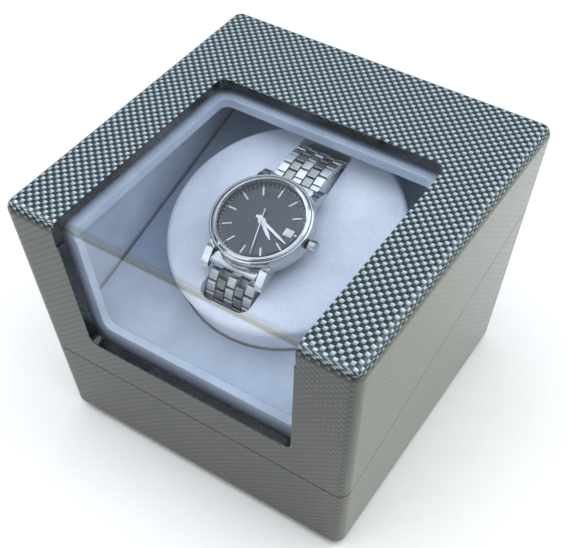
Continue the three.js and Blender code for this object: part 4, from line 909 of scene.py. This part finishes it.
# ---------------------------------------------------------------- studio
def floor():
    bpy.ops.mesh.primitive_plane_add(size=6, location=(0, 0, 0))
    piece = take("floor")
    piece.data.materials.append(grained("pale_paper_sweep", "f9f9f9", "fdfdfd", 2.0, (0.8, 0.95), 0.01))


def softbox(name, place, target, size, power, tint="ffffff"):
    data = bpy.data.lights.new(name, "AREA")
    data.shape = "RECTANGLE"
    data.size, data.size_y = size
    data.energy = power
    data.color = colour(tint)[:3]
    lamp = bpy.data.objects.new(name, data)
    bpy.context.scene.collection.objects.link(lamp)
    lamp.location = place
    lamp.rotation_mode = "QUATERNION"
    lamp.rotation_quaternion = (Vector(target) - Vector(place)).to_track_quat("-Z", "Y")


CAMERA_AZIMUTH = math.radians(32.95)
CAMERA_ELEVATION = math.radians(46.19)
CAMERA_DISTANCE = 431.7
CAMERA_TARGET_Z = 58.8


def camera():
    azimuth, elevation = CAMERA_AZIMUTH, CAMERA_ELEVATION
    back = Vector((math.sin(azimuth) * math.cos(elevation), -math.cos(azimuth) * math.cos(elevation),
                   math.sin(elevation)))
    data = bpy.data.cameras.new("camera")
    data.sensor_width = 36
    data.lens = 68.47
    data.shift_x = -0.0071
    data.shift_y = 0.0007
    eye = bpy.data.objects.new("camera", data)
    bpy.context.scene.collection.objects.link(eye)
    eye.location = Vector((0, 0, CAMERA_TARGET_Z * MM)) + back * CAMERA_DISTANCE * MM
    eye.rotation_mode = "QUATERNION"
    eye.rotation_quaternion = (-back).to_track_quat("-Z", "Y")
    bpy.context.scene.camera = eye


def room_light():
    world = bpy.data.worlds.new("studio")
    bpy.context.scene.world = world
    world.use_nodes = True
    tree = world.node_tree
    tree.nodes.clear()
    height = add(tree, "ShaderNodeSeparateXYZ",
                 {"Vector": add(tree, "ShaderNodeTexCoord").outputs["Generated"]}).outputs[2]
    sky = mixed(tree, ranged(tree, height, 0.0, 0.7, 0.0, 1.0), colour("8f918c"), colour("e9eef2"))
    overhead = ranged(tree, height, 0.80, 0.93, 0.48, 2.5)
    shade = add(tree, "ShaderNodeBackground", {"Color": sky, "Strength": overhead})
    add(tree, "ShaderNodeOutputWorld", {"Surface": shade.outputs[0]})


floor()
camera()
room_light()
softbox("back_softbox", (0.75, 0.75, 1.15), (0, 0, 0.08), (1.0, 1.0), 8, "f6f9fd")
softbox("left_softbox", (-1.25, -0.35, 1.1), (0, 0, 0.08), (0.9, 0.9), 9, "f6f9fd")
softbox("side_softbox", (1.1, -0.1, 0.8), (0, 0, 0.06), (0.9, 0.9), 3.5, "fffaf0")
softbox("front_softbox", (-0.5, -1.1, 0.9), (0, 0, 0.06), (0.8, 0.6), 2.5)
bpy.context.scene.view_settings.view_transform = "Standard"
